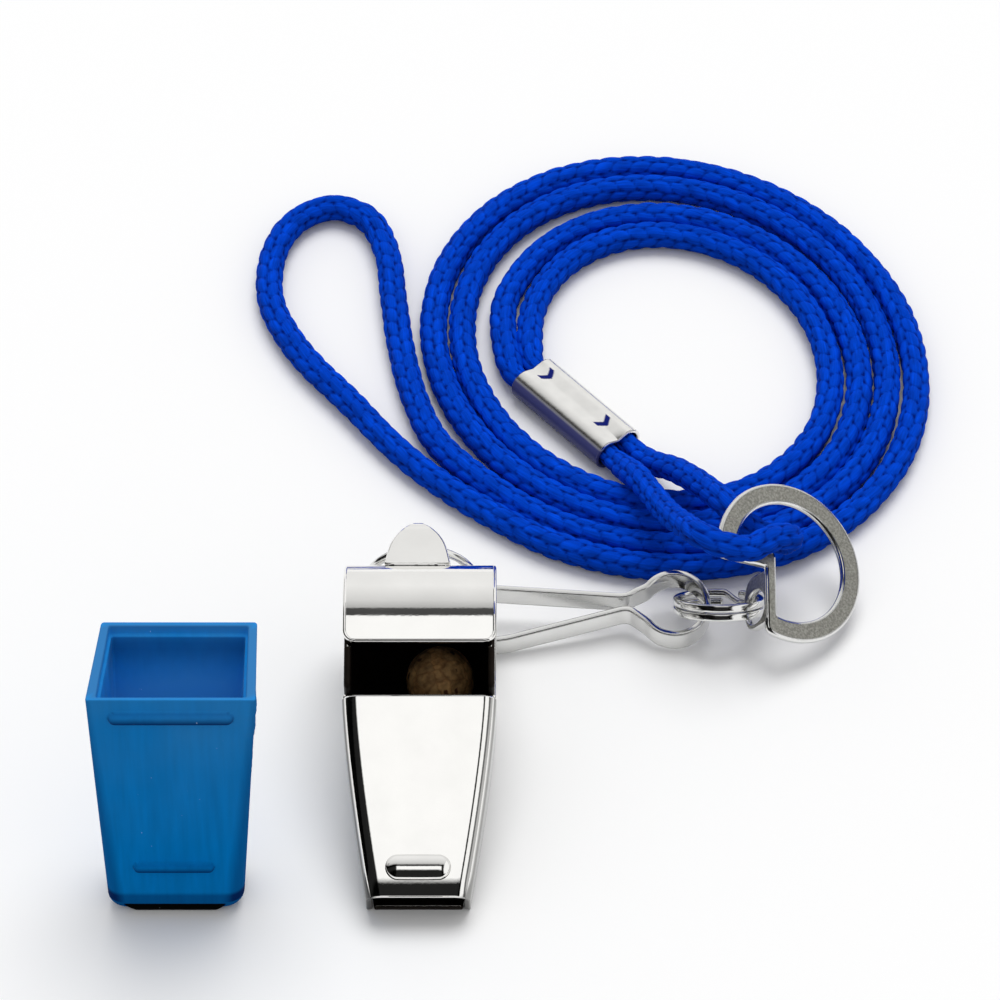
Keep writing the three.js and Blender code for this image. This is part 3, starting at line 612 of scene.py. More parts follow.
def add_node(tree, kind, sockets=None, stops=(), **settings):
    """A node with its settings, socket values and links. kind is its type without the first word,
    ShaderNode, or a node that is there already; stops are a colour ramp's (place, RGBA) pairs."""
    node = tree.nodes.new("ShaderNode" + kind) if isinstance(kind, str) else kind
    for key, value in settings.items():
        setattr(node, key, value)
    for key, value in (sockets or {}).items():
        if isinstance(value, bpy.types.NodeSocket):
            tree.links.new(value, node.inputs[key])
        else:
            node.inputs[key].default_value = value
    for _ in stops[2:]:
        node.color_ramp.elements.new(0.5)
    for k, (place, rgba) in enumerate(stops):
        node.color_ramp.elements[k].position = place
        node.color_ramp.elements[k].color = rgba
    return node


def finish(name):
    """Decorator for a recipe that fills a new material's node tree and shader from the colours:
    the function it gives makes the named material once, and after that gives it again."""
    def named(recipe):
        def material(c):
            made = bpy.data.materials.get(name)
            if made is None:
                made = bpy.data.materials.new(name)
                made.use_nodes = True
                recipe(made.node_tree, made.node_tree.nodes["Principled BSDF"], c)
            return made
        return material
    return named


def shade(rgba, k):
    """The colour times k."""
    return (rgba[0] * k, rgba[1] * k, rgba[2] * k, 1.0)


def per_mm(size):
    """Texture scale, in cells per metre, of a pattern whose cells are so many millimetres wide."""
    return 1 / (size * MM)


def plated(tree, shader, base, rough, wear):
    """Bright plate: a mirror whose tone and gloss drift by cloudy handling marks 5 mm wide and
    whose skin has scuffs 0.4 mm wide. An attribute paints shade on it, for dark reflections."""
    place = add_node(tree, "TexCoord").outputs["Object"]
    cloud = add_node(tree, "TexNoise", {"Vector": place, "Scale": per_mm(5), "Detail": 4.0})
    scuff = add_node(tree, "TexNoise", {"Vector": place, "Scale": per_mm(0.4), "Detail": 3.0})
    stops = [(0.3, shade(base, 0.95)), (0.7, base)]
    tone = add_node(tree, "ValToRGB", {"Fac": cloud.outputs["Fac"]}, stops)
    gloss = add_node(tree, "MapRange", {
        "Value": cloud.outputs["Fac"], "From Min": 0.3, "From Max": 0.75,
        "To Min": rough, "To Max": rough + wear})
    bump = add_node(tree, "Bump", {
        "Height": scuff.outputs["Fac"], "Strength": 0.04, "Distance": 0.1 * MM})
    # Painted shade: this attribute darkens the plate towards black, standing in for a dark reflection
    side_shade = add_node(tree, "Attribute", attribute_name="side_shade").outputs["Fac"]
    side_shaded = add_node(tree, "Mix", {
        "Factor": side_shade, A: tone.outputs["Color"], B: shade(base, 0.12)}, **MIX)
    add_node(tree, shader, {
        "Base Color": side_shaded.outputs[MIXED], "Metallic": 1.0, "Roughness": gloss.outputs["Result"],
        "Normal": bump.outputs["Normal"]})


@finish("nickel plate over brass")
def nickel(tree, shader, c):
    # Nickel plate over brass: a clear mirror that turns the studio into black and white bands
    plated(tree, shader, c.nickel[:], 0.03, 0.05)


@finish("tarnished bare brass")
def bare_brass(tree, shader, c):
    # Bare brass inside the shell: tarnished nearly black, a dull sheen and no mirror
    place = add_node(tree, "TexCoord").outputs["Object"]
    cloud = add_node(tree, "TexNoise", {"Vector": place, "Scale": per_mm(2.4), "Detail": 5.0})
    stops = [(0.3, shade(c.tarnish, 0.5)), (0.7, c.tarnish[:])]
    tone = add_node(tree, "ValToRGB", {"Fac": cloud.outputs["Fac"]}, stops)
    add_node(tree, shader, {
        "Base Color": tone.outputs["Color"], "Metallic": 0.6, "Roughness": 0.6, "Specular IOR Level": 0.2})


@finish("plated spring steel")
def spring_steel(tree, shader, c):
    # Plated spring steel: bright, with a softer gloss from rolling
    plated(tree, shader, c.steel[:], 0.09, 0.09)


@finish("tumbled satin steel")
def tumbled_steel(tree, shader, c):
    # Tumbled steel: a satin grey face full of fine pits that glitter, drawn coarse enough to show
    place = add_node(tree, "TexCoord").outputs["Object"]
    pits = add_node(tree, "TexNoise", {
        "Vector": place, "Scale": per_mm(0.3), "Detail": 5.0, "Roughness": 0.7})
    stops = [(0.36, shade(c.satin, 0.72)), (0.5, c.satin[:]), (0.64, shade(c.satin, 1.45))]
    tone = add_node(tree, "ValToRGB", {"Fac": pits.outputs["Fac"]}, stops)
    bump = add_node(tree, "Bump", {
        "Height": pits.outputs["Fac"], "Strength": 0.45, "Distance": 0.1 * MM})
    add_node(tree, shader, {
        "Base Color": tone.outputs["Color"], "Metallic": 1.0, "Roughness": 0.34,
        "Normal": bump.outputs["Normal"]})


@finish("soft alloy")
def soft_alloy(tree, shader, c):
    # Soft alloy sleeve: pale and satin, dark blue where punched marks bare the cord, and painted shade in
    # the same blue low on its outer side, for the dark reflection there
    place = add_node(tree, "TexCoord").outputs["Object"]
    cloud = add_node(tree, "TexNoise", {"Vector": place, "Scale": per_mm(2), "Detail": 4.0})
    punch_and_shade = add_node(tree, "Attribute", attribute_name="punch_and_shade").outputs["Fac"]
    stops = [(0.3, shade(c.alloy, 0.93)), (0.7, c.alloy[:])]
    tone = add_node(tree, "ValToRGB", {"Fac": cloud.outputs["Fac"]}, stops)
    mixed = add_node(tree, "Mix", {
        "Factor": punch_and_shade, A: tone.outputs["Color"], B: c.groove[:]}, **MIX)
    metal = add_node(tree, "Math", {0: 1.0, 1: punch_and_shade}, operation="SUBTRACT")
    bump = add_node(tree, "Bump", {
        "Height": cloud.outputs["Fac"], "Strength": 0.12, "Distance": 0.2 * MM})
    add_node(tree, shader, {
        "Base Color": mixed.outputs[MIXED], "Metallic": metal.outputs[0], "Roughness": 0.2,
        "Specular IOR Level": 0.1, "Normal": bump.outputs["Normal"]})


@finish("pressed cork")
def cork(tree, shader, c):
    # Pressed cork: warm tan grains about 2 mm wide, each of its own tone, with soft dark cracks
    place = add_node(tree, "TexCoord").outputs["Object"]
    grain = add_node(tree, "TexNoise", {"Vector": place, "Scale": per_mm(1.1), "Detail": 6.0})
    drift = add_node(tree, "VectorMath", {
        0: grain.outputs["Color"], 1: (1.1 * MM,) * 3}, operation="MULTIPLY")
    wavy = add_node(tree, "VectorMath", {0: place, 1: drift.outputs[0]}, operation="ADD")
    lumps = add_node(tree, "TexVoronoi", {"Vector": wavy.outputs[0], "Scale": per_mm(2.3)})
    crack = add_node(tree, "TexVoronoi", {
        "Vector": wavy.outputs[0], "Scale": per_mm(2.3)}, feature="DISTANCE_TO_EDGE")
    stops = [(0.1, shade(c.cork, 0.75)), (0.5, c.cork[:]), (0.9, shade(c.cork, 1.35))]
    own = add_node(tree, "SeparateColor", {0: lumps.outputs["Color"]})
    tone = add_node(tree, "ValToRGB", {"Fac": own.outputs[0]}, stops)
    speckle = add_node(tree, "ValToRGB", {"Fac": grain.outputs["Fac"]}, [
        (0.32, c.cork_speck[:]), (0.6, WHITE)])
    dark = add_node(tree, "ValToRGB", {"Fac": crack.outputs["Distance"]}, [
        (0.0, c.cork_crack[:]), (0.1, WHITE)])
    pits = add_node(tree, "ValToRGB", {"Fac": lumps.outputs["Distance"]}, [
        (0.12, c.cork_pit[:]), (0.2, WHITE)])
    mixed = add_node(tree, "Mix", {
        "Factor": 1.0, A: tone.outputs["Color"], B: speckle.outputs["Color"]}, **MULTIPLY)
    cracked = add_node(tree, "Mix", {
        "Factor": 1.0, A: mixed.outputs[MIXED], B: dark.outputs["Color"]}, **MULTIPLY)
    pitted = add_node(tree, "Mix", {
        "Factor": 1.0, A: cracked.outputs[MIXED], B: pits.outputs["Color"]}, **MULTIPLY)
    bump = add_node(tree, "Bump", {
        "Height": grain.outputs["Fac"], "Strength": 0.6, "Distance": 0.3 * MM})
    add_node(tree, shader, {
        "Base Color": pitted.outputs[MIXED], "Roughness": 0.8, "Normal": bump.outputs["Normal"]})


@finish("braided polyester")
def polyester(tree, shader, c):
    # Braided polyester: saturated blue stitches with a soft sheen and fine yarns, painted near black in the
    # grooves as shade.
    # Its UV counts stitches, so a stitch is seven yarns wide, drawn coarser than real ones to show
    lift = add_node(tree, "Attribute", attribute_name="lift").outputs["Fac"]
    place = add_node(tree, "UVMap", uv_map="stitch").outputs["UV"]
    yarn = add_node(tree, "Mapping", {"Vector": place, "Scale": (7.0, 0.8, 1.0)})
    fibre = add_node(tree, "TexNoise", {
        "Vector": yarn.outputs["Vector"], "Scale": 1.0, "Detail": 3.0})
    stops = [(0.3, shade(c.braid, 0.72)), (0.7, shade(c.braid, 1.08))]
    crown = add_node(tree, "ValToRGB", {"Fac": fibre.outputs["Fac"]}, stops)
    patch = add_node(tree, "TexNoise", {"Vector": place, "Scale": 0.8, "Detail": 2.0})
    faded = add_node(tree, "MapRange", {
        "Value": patch.outputs["Fac"], "From Min": 0.3, "From Max": 0.7, "To Min": 0.75, "To Max": 1.15})
    # Painted shade: the lower the braid's relief, the closer its colour comes to the near black groove
    # colour
    high = add_node(tree, "MapRange", {"Value": lift, "From Min": 0.0, "From Max": 0.5})
    mixed = add_node(tree, "Mix", {
        "Factor": high.outputs["Result"], A: c.groove[:], B: crown.outputs["Color"]}, **MIX)
    uneven = add_node(tree, "Mix", {
        "Factor": 1.0, A: mixed.outputs[MIXED], B: faded.outputs["Result"]}, **MULTIPLY)
    bump = add_node(tree, "Bump", {
        "Height": fibre.outputs["Fac"], "Strength": 0.5, "Distance": 0.25 * MM})
    add_node(tree, shader, {
        "Base Color": uneven.outputs[MIXED], "Roughness": 0.7, "Specular IOR Level": 0.03,
        "Normal": bump.outputs["Normal"]})


@finish("moulded rubber")
def rubber(tree, shader, c):
    # Moulded rubber: even mid blue with a low sheen, paler towards the rim, faint upright streaks a
    # millimetre wide, rubbed edges and a few specks of lint; painted light lower in the inner back
    # wall, and painted shade by the front's corners, round the ribs, on the toe and black in the slot
    place = add_node(tree, "TexCoord").outputs["Object"]
    tall = add_node(tree, "Mapping", {"Vector": place, "Scale": (per_mm(1), per_mm(1), per_mm(16))})
    streak = add_node(tree, "TexNoise", {
        "Vector": tall.outputs["Vector"], "Scale": 1.0, "Detail": 4.0})
    lint = add_node(tree, "TexNoise", {"Vector": place, "Scale": per_mm(0.6), "Detail": 1.0})
    cloud = add_node(tree, "TexNoise", {"Vector": place, "Scale": per_mm(9), "Detail": 3.0})
    high = add_node(tree, "SeparateXYZ", {0: place})
    rise = add_node(tree, "MapRange", {
        "Value": high.outputs["Z"], "From Min": 12 * MM, "From Max": 40 * MM})
    # Painted light: the inner back wall turns paler lower down, where less light reaches
    inner_painted_light = add_node(tree, "Attribute", attribute_name="inner_painted_light").outputs["Fac"]
    paler_and_lit = add_node(tree, "Math", {0: rise.outputs["Result"], 1: inner_painted_light}, operation="ADD")
    pale_and_painted_light = add_node(tree, "Math", {
        0: paler_and_lit.outputs[0], 1: cloud.outputs["Fac"]}, operation="MULTIPLY", use_clamp=True)
    stops = [(0.3, shade(c.rubber, 0.88)), (0.7, shade(c.rubber, 1.06))]
    tone = add_node(tree, "ValToRGB", {"Fac": streak.outputs["Fac"]}, stops)
    pale_lit_tone = add_node(tree, "Mix", {
        "Factor": pale_and_painted_light.outputs[0], A: tone.outputs["Color"], B: c.pale_and_painted_light[:]}, **MIX)
    worn = add_node(tree, "Attribute", attribute_name="worn").outputs["Fac"]
    edge = add_node(tree, "Mix", {
        "Factor": worn, A: pale_lit_tone.outputs[MIXED], B: c.rubbed[:]}, **MIX)
    # Painted shade from the attribute dark: the crease colour, and black where it rises past 1
    dark = add_node(tree, "Attribute", attribute_name="dark").outputs["Fac"]
    shaded_tone = add_node(tree, "Mix", {
        "Factor": dark, A: edge.outputs[MIXED], B: c.crease_shade[:]}, **MIX)
    painted_black = add_node(tree, "MapRange", {
        "Value": dark, "From Min": 1.0, "From Max": 2.0, "To Min": 1.0, "To Max": 0.0})
    deep = add_node(tree, "Mix", {
        "Factor": 1.0, A: shaded_tone.outputs[MIXED], B: painted_black.outputs["Result"]}, **MULTIPLY)
    speck = add_node(tree, "ValToRGB", {"Fac": lint.outputs["Fac"]}, [
        (0.8, BLACK), (0.83, c.lint[:])])
    mixed = add_node(tree, "Mix", {
        "Factor": 1.0, A: deep.outputs[MIXED], B: speck.outputs["Color"]}, **MIX, blend_type="ADD")
    bump = add_node(tree, "Bump", {
        "Height": streak.outputs["Fac"], "Strength": 0.1, "Distance": 0.2 * MM})
    add_node(tree, shader, {
        "Base Color": mixed.outputs[MIXED], "Roughness": 0.75, "Specular IOR Level": 0.03,
        "Normal": bump.outputs["Normal"]})


# Whistle


class WHISTLE_OT_shell(bpy.types.Operator):
    """Barrel wrap, cheeks, mouthpiece, tooth stud and lug of pressed sheet"""

    bl_idname = "whistle.shell"
    bl_label = "Add Whistle Shell"

    def execute(self, context):
        s = sizes(context.scene.whistle_body)
        metal = nickel(context.scene.whistle_finish)
        dark = bare_brass(context.scene.whistle_finish)
        wrap = plate(wrap_grid(s), s.sheet, s.soft_edge)
        piece("wrap_sheet", "whistle", metal, [wrap], "barrel_wrap", other={INSIDE: dark})
        for side, name in ((-1, "left"), (1, "right")):
            shell = plate(cheek_grid(s, side), s.sheet, s.soft_edge)
            piece(f"{name}_cheek_sheet", "whistle", metal, [shell], f"{name}_cheek",
                  other={INSIDE: dark, RIM: dark})
        channel = plate(channel_grid(s), s.sheet, s.edge)
        folded = piece("channel_sheet", "whistle", metal, [channel], "mouthpiece_channel",
                       other={INSIDE: dark})
        # Painted shade low on the channel's sides, standing in for the dark reflections there
        attribute(folded, "side_shade", painted_side_shade(s, channel[0]))
        stud = piece("tooth_stud", "whistle", metal, [stud_shell(s)], weld=True)
        floor = plate(floor_grid(s), s.sheet, s.edge)
        # The floor sheet's rim takes the tarnished brass: painted shade standing in for the dark reflection
        # at the mouth's lower edge
        piece("floor_sheet", "whistle", metal, [floor], "mouthpiece_floor", other={RIM: dark})
        piece("lug_strip", "whistle", metal, [plate(lug_grid(s), s.lug_t, s.edge)], "ring_lug")
        heights = (s.lug_top - s.solder_in, s.lug_low + s.solder_in)
        beads = [solder_tube(s, w, seed) for seed, w in enumerate(heights, 1)]
        solder = piece("lug_solder", "whistle", metal, beads)
        return {"FINISHED"}


def painted_side_shade(s, points):
    """Painted shade on the channel, for its dark reflections: none on top, full from part of the
    way round its folded edges down, a little less on the right."""
    edge_part, blend, right = 0.4, 0.3, 0.75
    low = fade(s.barrel_r - edge_part * s.edge_r - height_on(s, points), blend)
    return low * np.where(points[:, 0] < 0, 1, right)


def wrap_grid(s):
    """Profile along a path: a flat lip, three quarters of a circle about the barrel axis and a
    straight dam, all at mid-sheet, carried across the width. Towards the lip's edge the half
    width shrinks by c - sqrt(c^2 - (c - d)^2), which rounds the lip's corners by radius c."""
    r = s.barrel_r - s.sheet / 2
    lip_u = spread(0, s.lip - s.soft_edge, 16)[::-1]
    lip = np.stack([lip_u, np.full_like(lip_u, r)], -1)
    turn = np.linspace(math.pi / 2, TAU, 150)[1:-1]
    arc = r * np.stack([np.cos(turn), np.sin(turn)], -1)
    dam_w = spread(0, s.barrel_r - s.sheet - s.slit - s.soft_edge, 6)
    dam = np.stack([np.full_like(dam_w, r), dam_w], -1)
    path = np.concatenate([lip, arc, dam])
    half = np.full(len(path), s.width / 2 - s.soft_edge)
    c = s.lip_corner
    d = np.clip(lip_u[0] - lip_u, 0, c)
    half[: len(lip)] -= c - np.sqrt(c**2 - (c - d) ** 2)
    across = spread(-1, 1, 15, margin=0.015)
    return on_whistle(s, across[:, None] * half, path[:, 0], path[:, 1])


def coons(loop, count):
    """Grid inside a closed loop of 4 x count points: opposite sides blended, corners taken off."""
    sides = [np.concatenate([loop, loop[:1]])[k * count : (k + 1) * count + 1] for k in range(4)]
    low, right, top, left = sides[0], sides[1], sides[2][::-1], sides[3][::-1]
    t = np.linspace(0, 1, count + 1)[:, None, None]
    q = np.linspace(0, 1, count + 1)[None, :, None]
    blend = (1 - t) * low[None] + t * top[None] + (1 - q) * left[:, None] + q * right[:, None]
    corners = (1 - t) * ((1 - q) * low[0] + q * low[-1]) + t * ((1 - q) * top[0] + q * top[-1])
    return blend - corners


def cheek_grid(s, side):
    """Flat plate in the outline of a circle inside the wrap with a tab standing up beside the
    window: the outline's points, with a surface blended between its four quarters. The grid
    runs so that its upper side is the outside."""
    e = s.soft_edge
    r = s.barrel_r - s.sheet - s.seam - e
    high, near = s.barrel_r - 2 * s.seam - e, s.lip + s.seam + e
    turn = np.linspace(TAU, math.pi / 2, 90)
    arc = r * np.stack([np.cos(turn), np.sin(turn)], -1)
    outline = np.concatenate([[[near, high], [r, high]], arc, [[near, r]]])
    side_count = 80
    loop = soft_loop(outline, count=4 * side_count, passes=2)
    grid = coons(np.roll(loop, 20, 0), side_count)
    if side > 0:
        grid = grid.swapaxes(0, 1)
    x = np.full(grid.shape[:2], side * ((s.width - s.sheet) / 2 - s.cheek_inset))
    return on_whistle(s, x, grid[..., 0], grid[..., 1])


def channel_grid(s):
    """Profile along a path: an upturned U of two sides, two quarter circles and a top, at
    mid-sheet, carried along the mouthpiece while its width narrows as a power of the way to the
    mouth; over the last stretch the top dips by a parabola."""
    u = spread(s.channel_u + s.edge, s.mouth_u - s.edge, 60)[None, :]
    half = half_at(s, u) - s.sheet / 2
    top = s.barrel_r - s.sheet / 2 - dip_at(s, u)
    r = s.edge_r - s.sheet / 2
    foot = floor_at(s, u) + s.edge
    rise = spread(0, 1, 8, margin=0.03)[:, None]
    turn = np.linspace(0, math.pi / 2, 16)[:, None]
    side_x, side_w = half + 0 * rise, foot + rise * (top - r - foot)
    bend_x, bend_w = half - r + r * np.cos(turn), top - r + r * np.sin(turn)
    flat = spread(-1, 1, 24, margin=0.01)[1:-1, None]
    x = np.concatenate([side_x[:-1], bend_x, -flat * (half - r), -bend_x[::-1], -side_x[-2::-1]])
    w = np.concatenate([side_w[:-1], bend_w, top + 0 * flat, bend_w[::-1], side_w[-2::-1]])
    return on_whistle(s, x, u + 0 * x, w)


def stud_shell(s):
    """Pill-shaped stud: points at a part k of the way from the pill's core line to its outline
    stand foot + rise * (1 - (k / crown)^2) above the plate, tipped a little to the front; past
    the crown a quarter of an ellipse rounds the shoulder down; a skirt and an underside close it."""
    core = s.stud_len / 2 - s.stud_r
    turn = np.linspace(0, TAU, 96, endpoint=False)
    crown = np.linspace(0, s.stud_crown, 16)[:, None]
    arc = np.linspace(0, math.pi / 2, 9)[1:, None]
    skirt = np.array([[1.0], [0.6], [0.0]])
    sunk = np.array([[-0.1], [-0.2], [-0.2]]) + 0 * turn
    k = np.concatenate([crown, s.stud_crown + (1 - s.stud_crown) * np.sin(arc), skirt])
    foot = s.stud_foot + s.stud_tip * crown * np.sin(turn)
    dome = foot + s.stud_rise * (1 - (crown / s.stud_crown) ** 2)
    high = np.concatenate([dome, foot[-1] * np.cos(arc), sunk])
    sharp = 6
    ends = np.clip(np.cos(turn) * sharp, -1, 1)
    x = core * ends + k * s.stud_r * np.cos(turn)
    u = s.mouth_u - s.stud_back + k * s.stud_r * np.sin(turn)
    grid = on_whistle(s, x, u, s.barrel_r + high - dip_at(s, u))
    return grid.reshape(-1, 3), quads(*grid.shape[:2], wrap_cols=True).tolist()


def floor_grid(s):
    """Ruled plate from under the window to the mouth, as wide as the channel's inside."""
    u = spread(s.channel_u + s.seam + s.edge, s.mouth_u - s.edge, 12)[None, :]
    half = half_at(s, u) - s.sheet - 2 * s.seam - s.edge
    x = spread(-1, 1, 8, margin=0.02)[:, None] * half
    return on_whistle(s, x, u + 0 * x, floor_at(s, u) + s.sheet / 2 + 0 * x)


def lug_grid(s):
    """Profile along a path: straight out from the barrel, two quarter circles and straight back,
    at mid-sheet; its half width shrinks by a power of the way from its root to its tip, with a
    flare at the root that fades by the square of the way left."""
    r = s.lug_bend - s.lug_t / 2
    back = s.barrel_r + s.lug_reach - s.lug_bend
    top, low = s.lug_top - s.lug_t / 2, s.lug_low + s.lug_t / 2
    root_top, root_low = (math.sqrt((s.barrel_r + s.root_gap) ** 2 - w**2) for w in (top, low))
    turn = np.linspace(math.pi / 2, 0, 16)
    upper = np.stack([back + r * np.cos(turn), top - r + r * np.sin(turn)], -1)
    lower = np.stack([back + r * np.cos(turn), low + r - r * np.sin(turn)], -1)[::-1]
    path = smooth_line(np.concatenate([[[root_top, top]], upper, lower, [[root_low, low]]]), step=0.2)
    y = path[:, 0]
    far = s.barrel_r + s.lug_reach - s.lug_tip
    way = fade(y - root_top, far - root_top)
    tongue = s.lug_w / 2 * (1 - way**s.lug_curve) + s.lug_flare * (1 - way) ** 2
    half = np.maximum(tongue, s.lug_neck / 2) - s.edge
    across = s.lug_x + spread(-1, 1, 14, margin=0.03)[:, None] * half
    return np.stack([across, y + 0 * across, s.barrel_r + path[:, 1] + 0 * across], -1)


def solder_tube(s, w, seed):
    """Bead of solder: a thin tube along the lug's root whose radius wavers by random ripples."""
    reach = s.lug_w / 2 + s.lug_flare - s.solder_short
    x = np.linspace(-reach, reach, 60)
    y = math.sqrt(s.barrel_r**2 - w**2) + s.root_gap
    line = np.stack([x + s.lug_x, np.full_like(x, y), np.full_like(x, s.barrel_r + w)], -1)
    ends = np.sqrt(np.clip(1 - (x / reach) ** 6, 0.05, 1))
    waver = 0.3 * ripples(line, wave=2.2, seed=seed)
    thick = s.solder_r * ends * (1 + waver)
    turn = np.linspace(0, TAU, 14, endpoint=False)
    ring = np.stack([0 * turn, np.cos(turn), np.sin(turn)], -1)
    return tube(line[:, None] + thick[:, None, None] * ring)


class WHISTLE_OT_pea(bpy.types.Operator):
    """Cork pea in the barrel"""

    bl_idname = "whistle.pea"
    bl_label = "Add Pea"

    def execute(self, context):
        s = sizes(context.scene.whistle_body)
        piece("pea_cork", "pea", cork(context.scene.whistle_finish), [pea_shell(s)], "cork_pea", weld=True)
        return {"FINISHED"}


def pea_shell(s):
    """Sphere by latitude and longitude, its radius pressed in by random ripples where grains meet."""
    lat = np.linspace(0, math.pi, 60)[:, None]
    lon = np.linspace(0, TAU, 120, endpoint=False)[None, :]
    way = np.stack([np.sin(lat) * np.cos(lon), np.sin(lat) * np.sin(lon), np.cos(lat) + 0 * lon], -1)
    dents = 0
    for deep, wave, seed in ((0.12, 3.2, 5), (0.05, 1.1, 6)):
        dents = dents + deep * np.clip(ripples(way * s.pea_r, wave=wave, seed=seed), 0, 1)
    rest = s.pea_orbit * np.array([0, -math.sin(s.pea_turn), -math.cos(s.pea_turn)])
    grid = np.array([s.pea_x, 0, s.barrel_r]) + rest + way * (s.pea_r - dents)[..., None]
    return grid.reshape(-1, 3), quads(*grid.shape[:2], wrap_cols=True).tolist()


class WHISTLE_OT_wire_ring(bpy.types.Operator):
    """Wire ring hanging in the lug"""

    bl_idname = "whistle.wire_ring"
    bl_label = "Add Wire Ring"

    def execute(self, context):
        s = sizes(context.scene.whistle_body)
        metal = spring_steel(context.scene.whistle_finish)
        piece("wire_ring", "ring", metal, [tube(ring_loops(s))], "whistle_ring")
        return {"FINISHED"}


def ring_loops(s):
    """Round wire carried along a circle that leans back, open at its butt joint."""
    half = s.ring_wire / 2
    r = s.ring_od / 2 - half
    down = np.array([0, math.sin(s.ring_lean), -math.cos(s.ring_lean)])
    axis = np.cross(ACROSS, down)
    middle = np.array([0, s.ring_top_y, s.barrel_r + s.ring_top_z]) + down * r
    t = np.linspace(s.ring_gap / 2, TAU - s.ring_gap / 2, 150)
    way = np.cos(t)[:, None] * down + np.sin(t)[:, None] * ACROSS
    return wire(middle + way * r, way, np.broadcast_to(axis, way.shape), half, half, power=2)


def wire(line, first, second, half1, half2, power, around=18):
    """Loops of a wire section, |a/half1|^power + |b/half2|^power = 1, about each point of a line;
    the first and the last are smaller, which takes the sharpness off the wire's ends."""
    turn = np.linspace(0, TAU, around, endpoint=False)
    a = np.sign(np.cos(turn)) * np.abs(np.cos(turn)) ** (2 / power) * half1
    b = np.sign(np.sin(turn)) * np.abs(np.sin(turn)) ** (2 / power) * half2
    section = a[None, :, None] * first[:, None] + b[None, :, None] * second[:, None]
    end_size = 0.8
    section[[0, -1]] *= end_size
    return line[:, None] + section


# Clip, split ring, flat ring


class WHISTLE_OT_clip(bpy.types.Operator):
    """Spring strip clip with an eye and hooked ends"""

    bl_idname = "whistle.clip"
    bl_label = "Add Clip"

    def execute(self, context):
        s = sizes(context.scene.whistle_chain)
        metal = spring_steel(context.scene.whistle_finish)
        piece("clip_strip", "clip", metal, [plate(clip_grid(s), s.strip_t, s.strip_edge)], "lanyard_clip")
        return {"FINISHED"}


def clip_grid(s):
    """Profile along a path: the strip's height carried along its bent centre line of straight
    runs, soft bends and the eye's arc in a plane that tips up by the roll; the strip is upright."""
    neck = s.eye_q + s.neck_rise
    low, high = neck - s.neck_half, neck + s.neck_half
    hook = s.bar_x - s.strip_t - s.bar_gap
    turn = np.linspace(-s.eye_turn, s.eye_turn, 60)
    eye = np.stack([s.eye_x + s.eye_r * np.cos(turn), s.eye_q + s.eye_r * np.sin(turn)], -1)
    bar_short, leg_soft, leg_rise = 1.6, 2.0, 0.65
    near, beyond = s.neck_x - 1.5, s.neck_x + 0.8
    front_drop, back_rise, eye_drop = 0.5, 0.1, 0.7
    line = np.concatenate([
        [[s.bar_x, s.leg_back - bar_short]],
        bend((s.bar_x, s.hook_bend), (s.bar_x, 0), (s.bar_x + s.hook_bend, 0)),
        bend((s.leg_bend - leg_soft, 0), (s.leg_bend, 0), (s.leg_bend + leg_soft, leg_rise)),
        bend((near, low - front_drop), (s.neck_x, low), (beyond, low - eye_drop)),
        eye,
        bend((beyond, high + eye_drop), (s.neck_x, high), (near, high + back_rise)),
        bend((hook + s.hook_bend, s.leg_back), (hook, s.leg_back), (hook, s.leg_back - s.hook_bend)),
        [[hook, s.hook_bend]],
    ])
    line = smooth_line(smooth_line(line, step=0.1), step=0.25, soften=12)
    slope = np.array([0, math.cos(s.roll), math.sin(s.roll)])
    flat = line[:, :1] * ACROSS + line[:, 1:] * slope + np.array([0, s.clip_y, s.clip_z])
    rise = spread(s.strip_edge, s.strip_h - s.strip_edge, 6, margin=0.1)
    return flat[None] + rise[:, None, None] * UP


class WHISTLE_OT_split_ring(bpy.types.Operator):
    """Two-turn split ring through the clip's eye"""

    bl_idname = "whistle.split_ring"
    bl_label = "Add Split Ring"

    def execute(self, context):
        s = sizes(context.scene.whistle_chain)
        metal = spring_steel(context.scene.whistle_finish)
        piece("split_wire", "split_ring", metal, [tube(split_loops(s))], "small_split_ring")
        return {"FINISHED"}


def split_middle(s):
    """Middle of the split ring, beside the middle of the clip's eye."""
    y = s.clip_y + s.eye_q * math.cos(s.roll) + s.split_back
    return np.array([s.eye_x + s.split_off, y, s.split_z])


def split_way(s, t):
    """Direction from the split ring's middle at the turn t, in its tilted plane."""
    back = np.array([0, math.cos(s.split_tilt), -math.sin(s.split_tilt)])
    t = np.asarray(t)[..., None]
    return np.cos(t) * ACROSS + np.sin(t) * back


def split_loops(s):
    """Squarish wire carried round two level turns, stepping up by the pitch on a smooth S."""
    turn = np.linspace(s.split_jog, 2 * TAU - s.split_jog, 260)
    rise = (ease(fade(turn - TAU + s.split_jog, 2 * s.split_jog)) - 0.5) * s.split_pitch
    way = split_way(s, turn + s.split_start)
    axis = np.broadcast_to([0, math.sin(s.split_tilt), math.cos(s.split_tilt)], way.shape)
    line = split_middle(s) + way * s.split_r + rise[:, None] * axis
    return wire(line, way, axis, s.split_wire / 2, s.split_deep / 2, power=3.4)


class WHISTLE_OT_flat_ring(bpy.types.Operator):
    """Flat stamped ring with its folded ear"""

    bl_idname = "whistle.flat_ring"
    bl_label = "Add Flat Ring"

    def execute(self, context):
        s = sizes(context.scene.whistle_chain)
        metal = tumbled_steel(context.scene.whistle_finish)
        face = plate(face_grid(s), s.flat_t, s.flat_edge, wrap=True)
        shells = [face, plate(ear_grid(s), s.flat_t, s.ear_edge, wrap=True)]
        rim = {RIM: spring_steel(context.scene.whistle_finish)}
        piece("flat_ring_plate", "flat_ring", metal, shells, "lanyard_ring", other=rim)
        return {"FINISHED"}


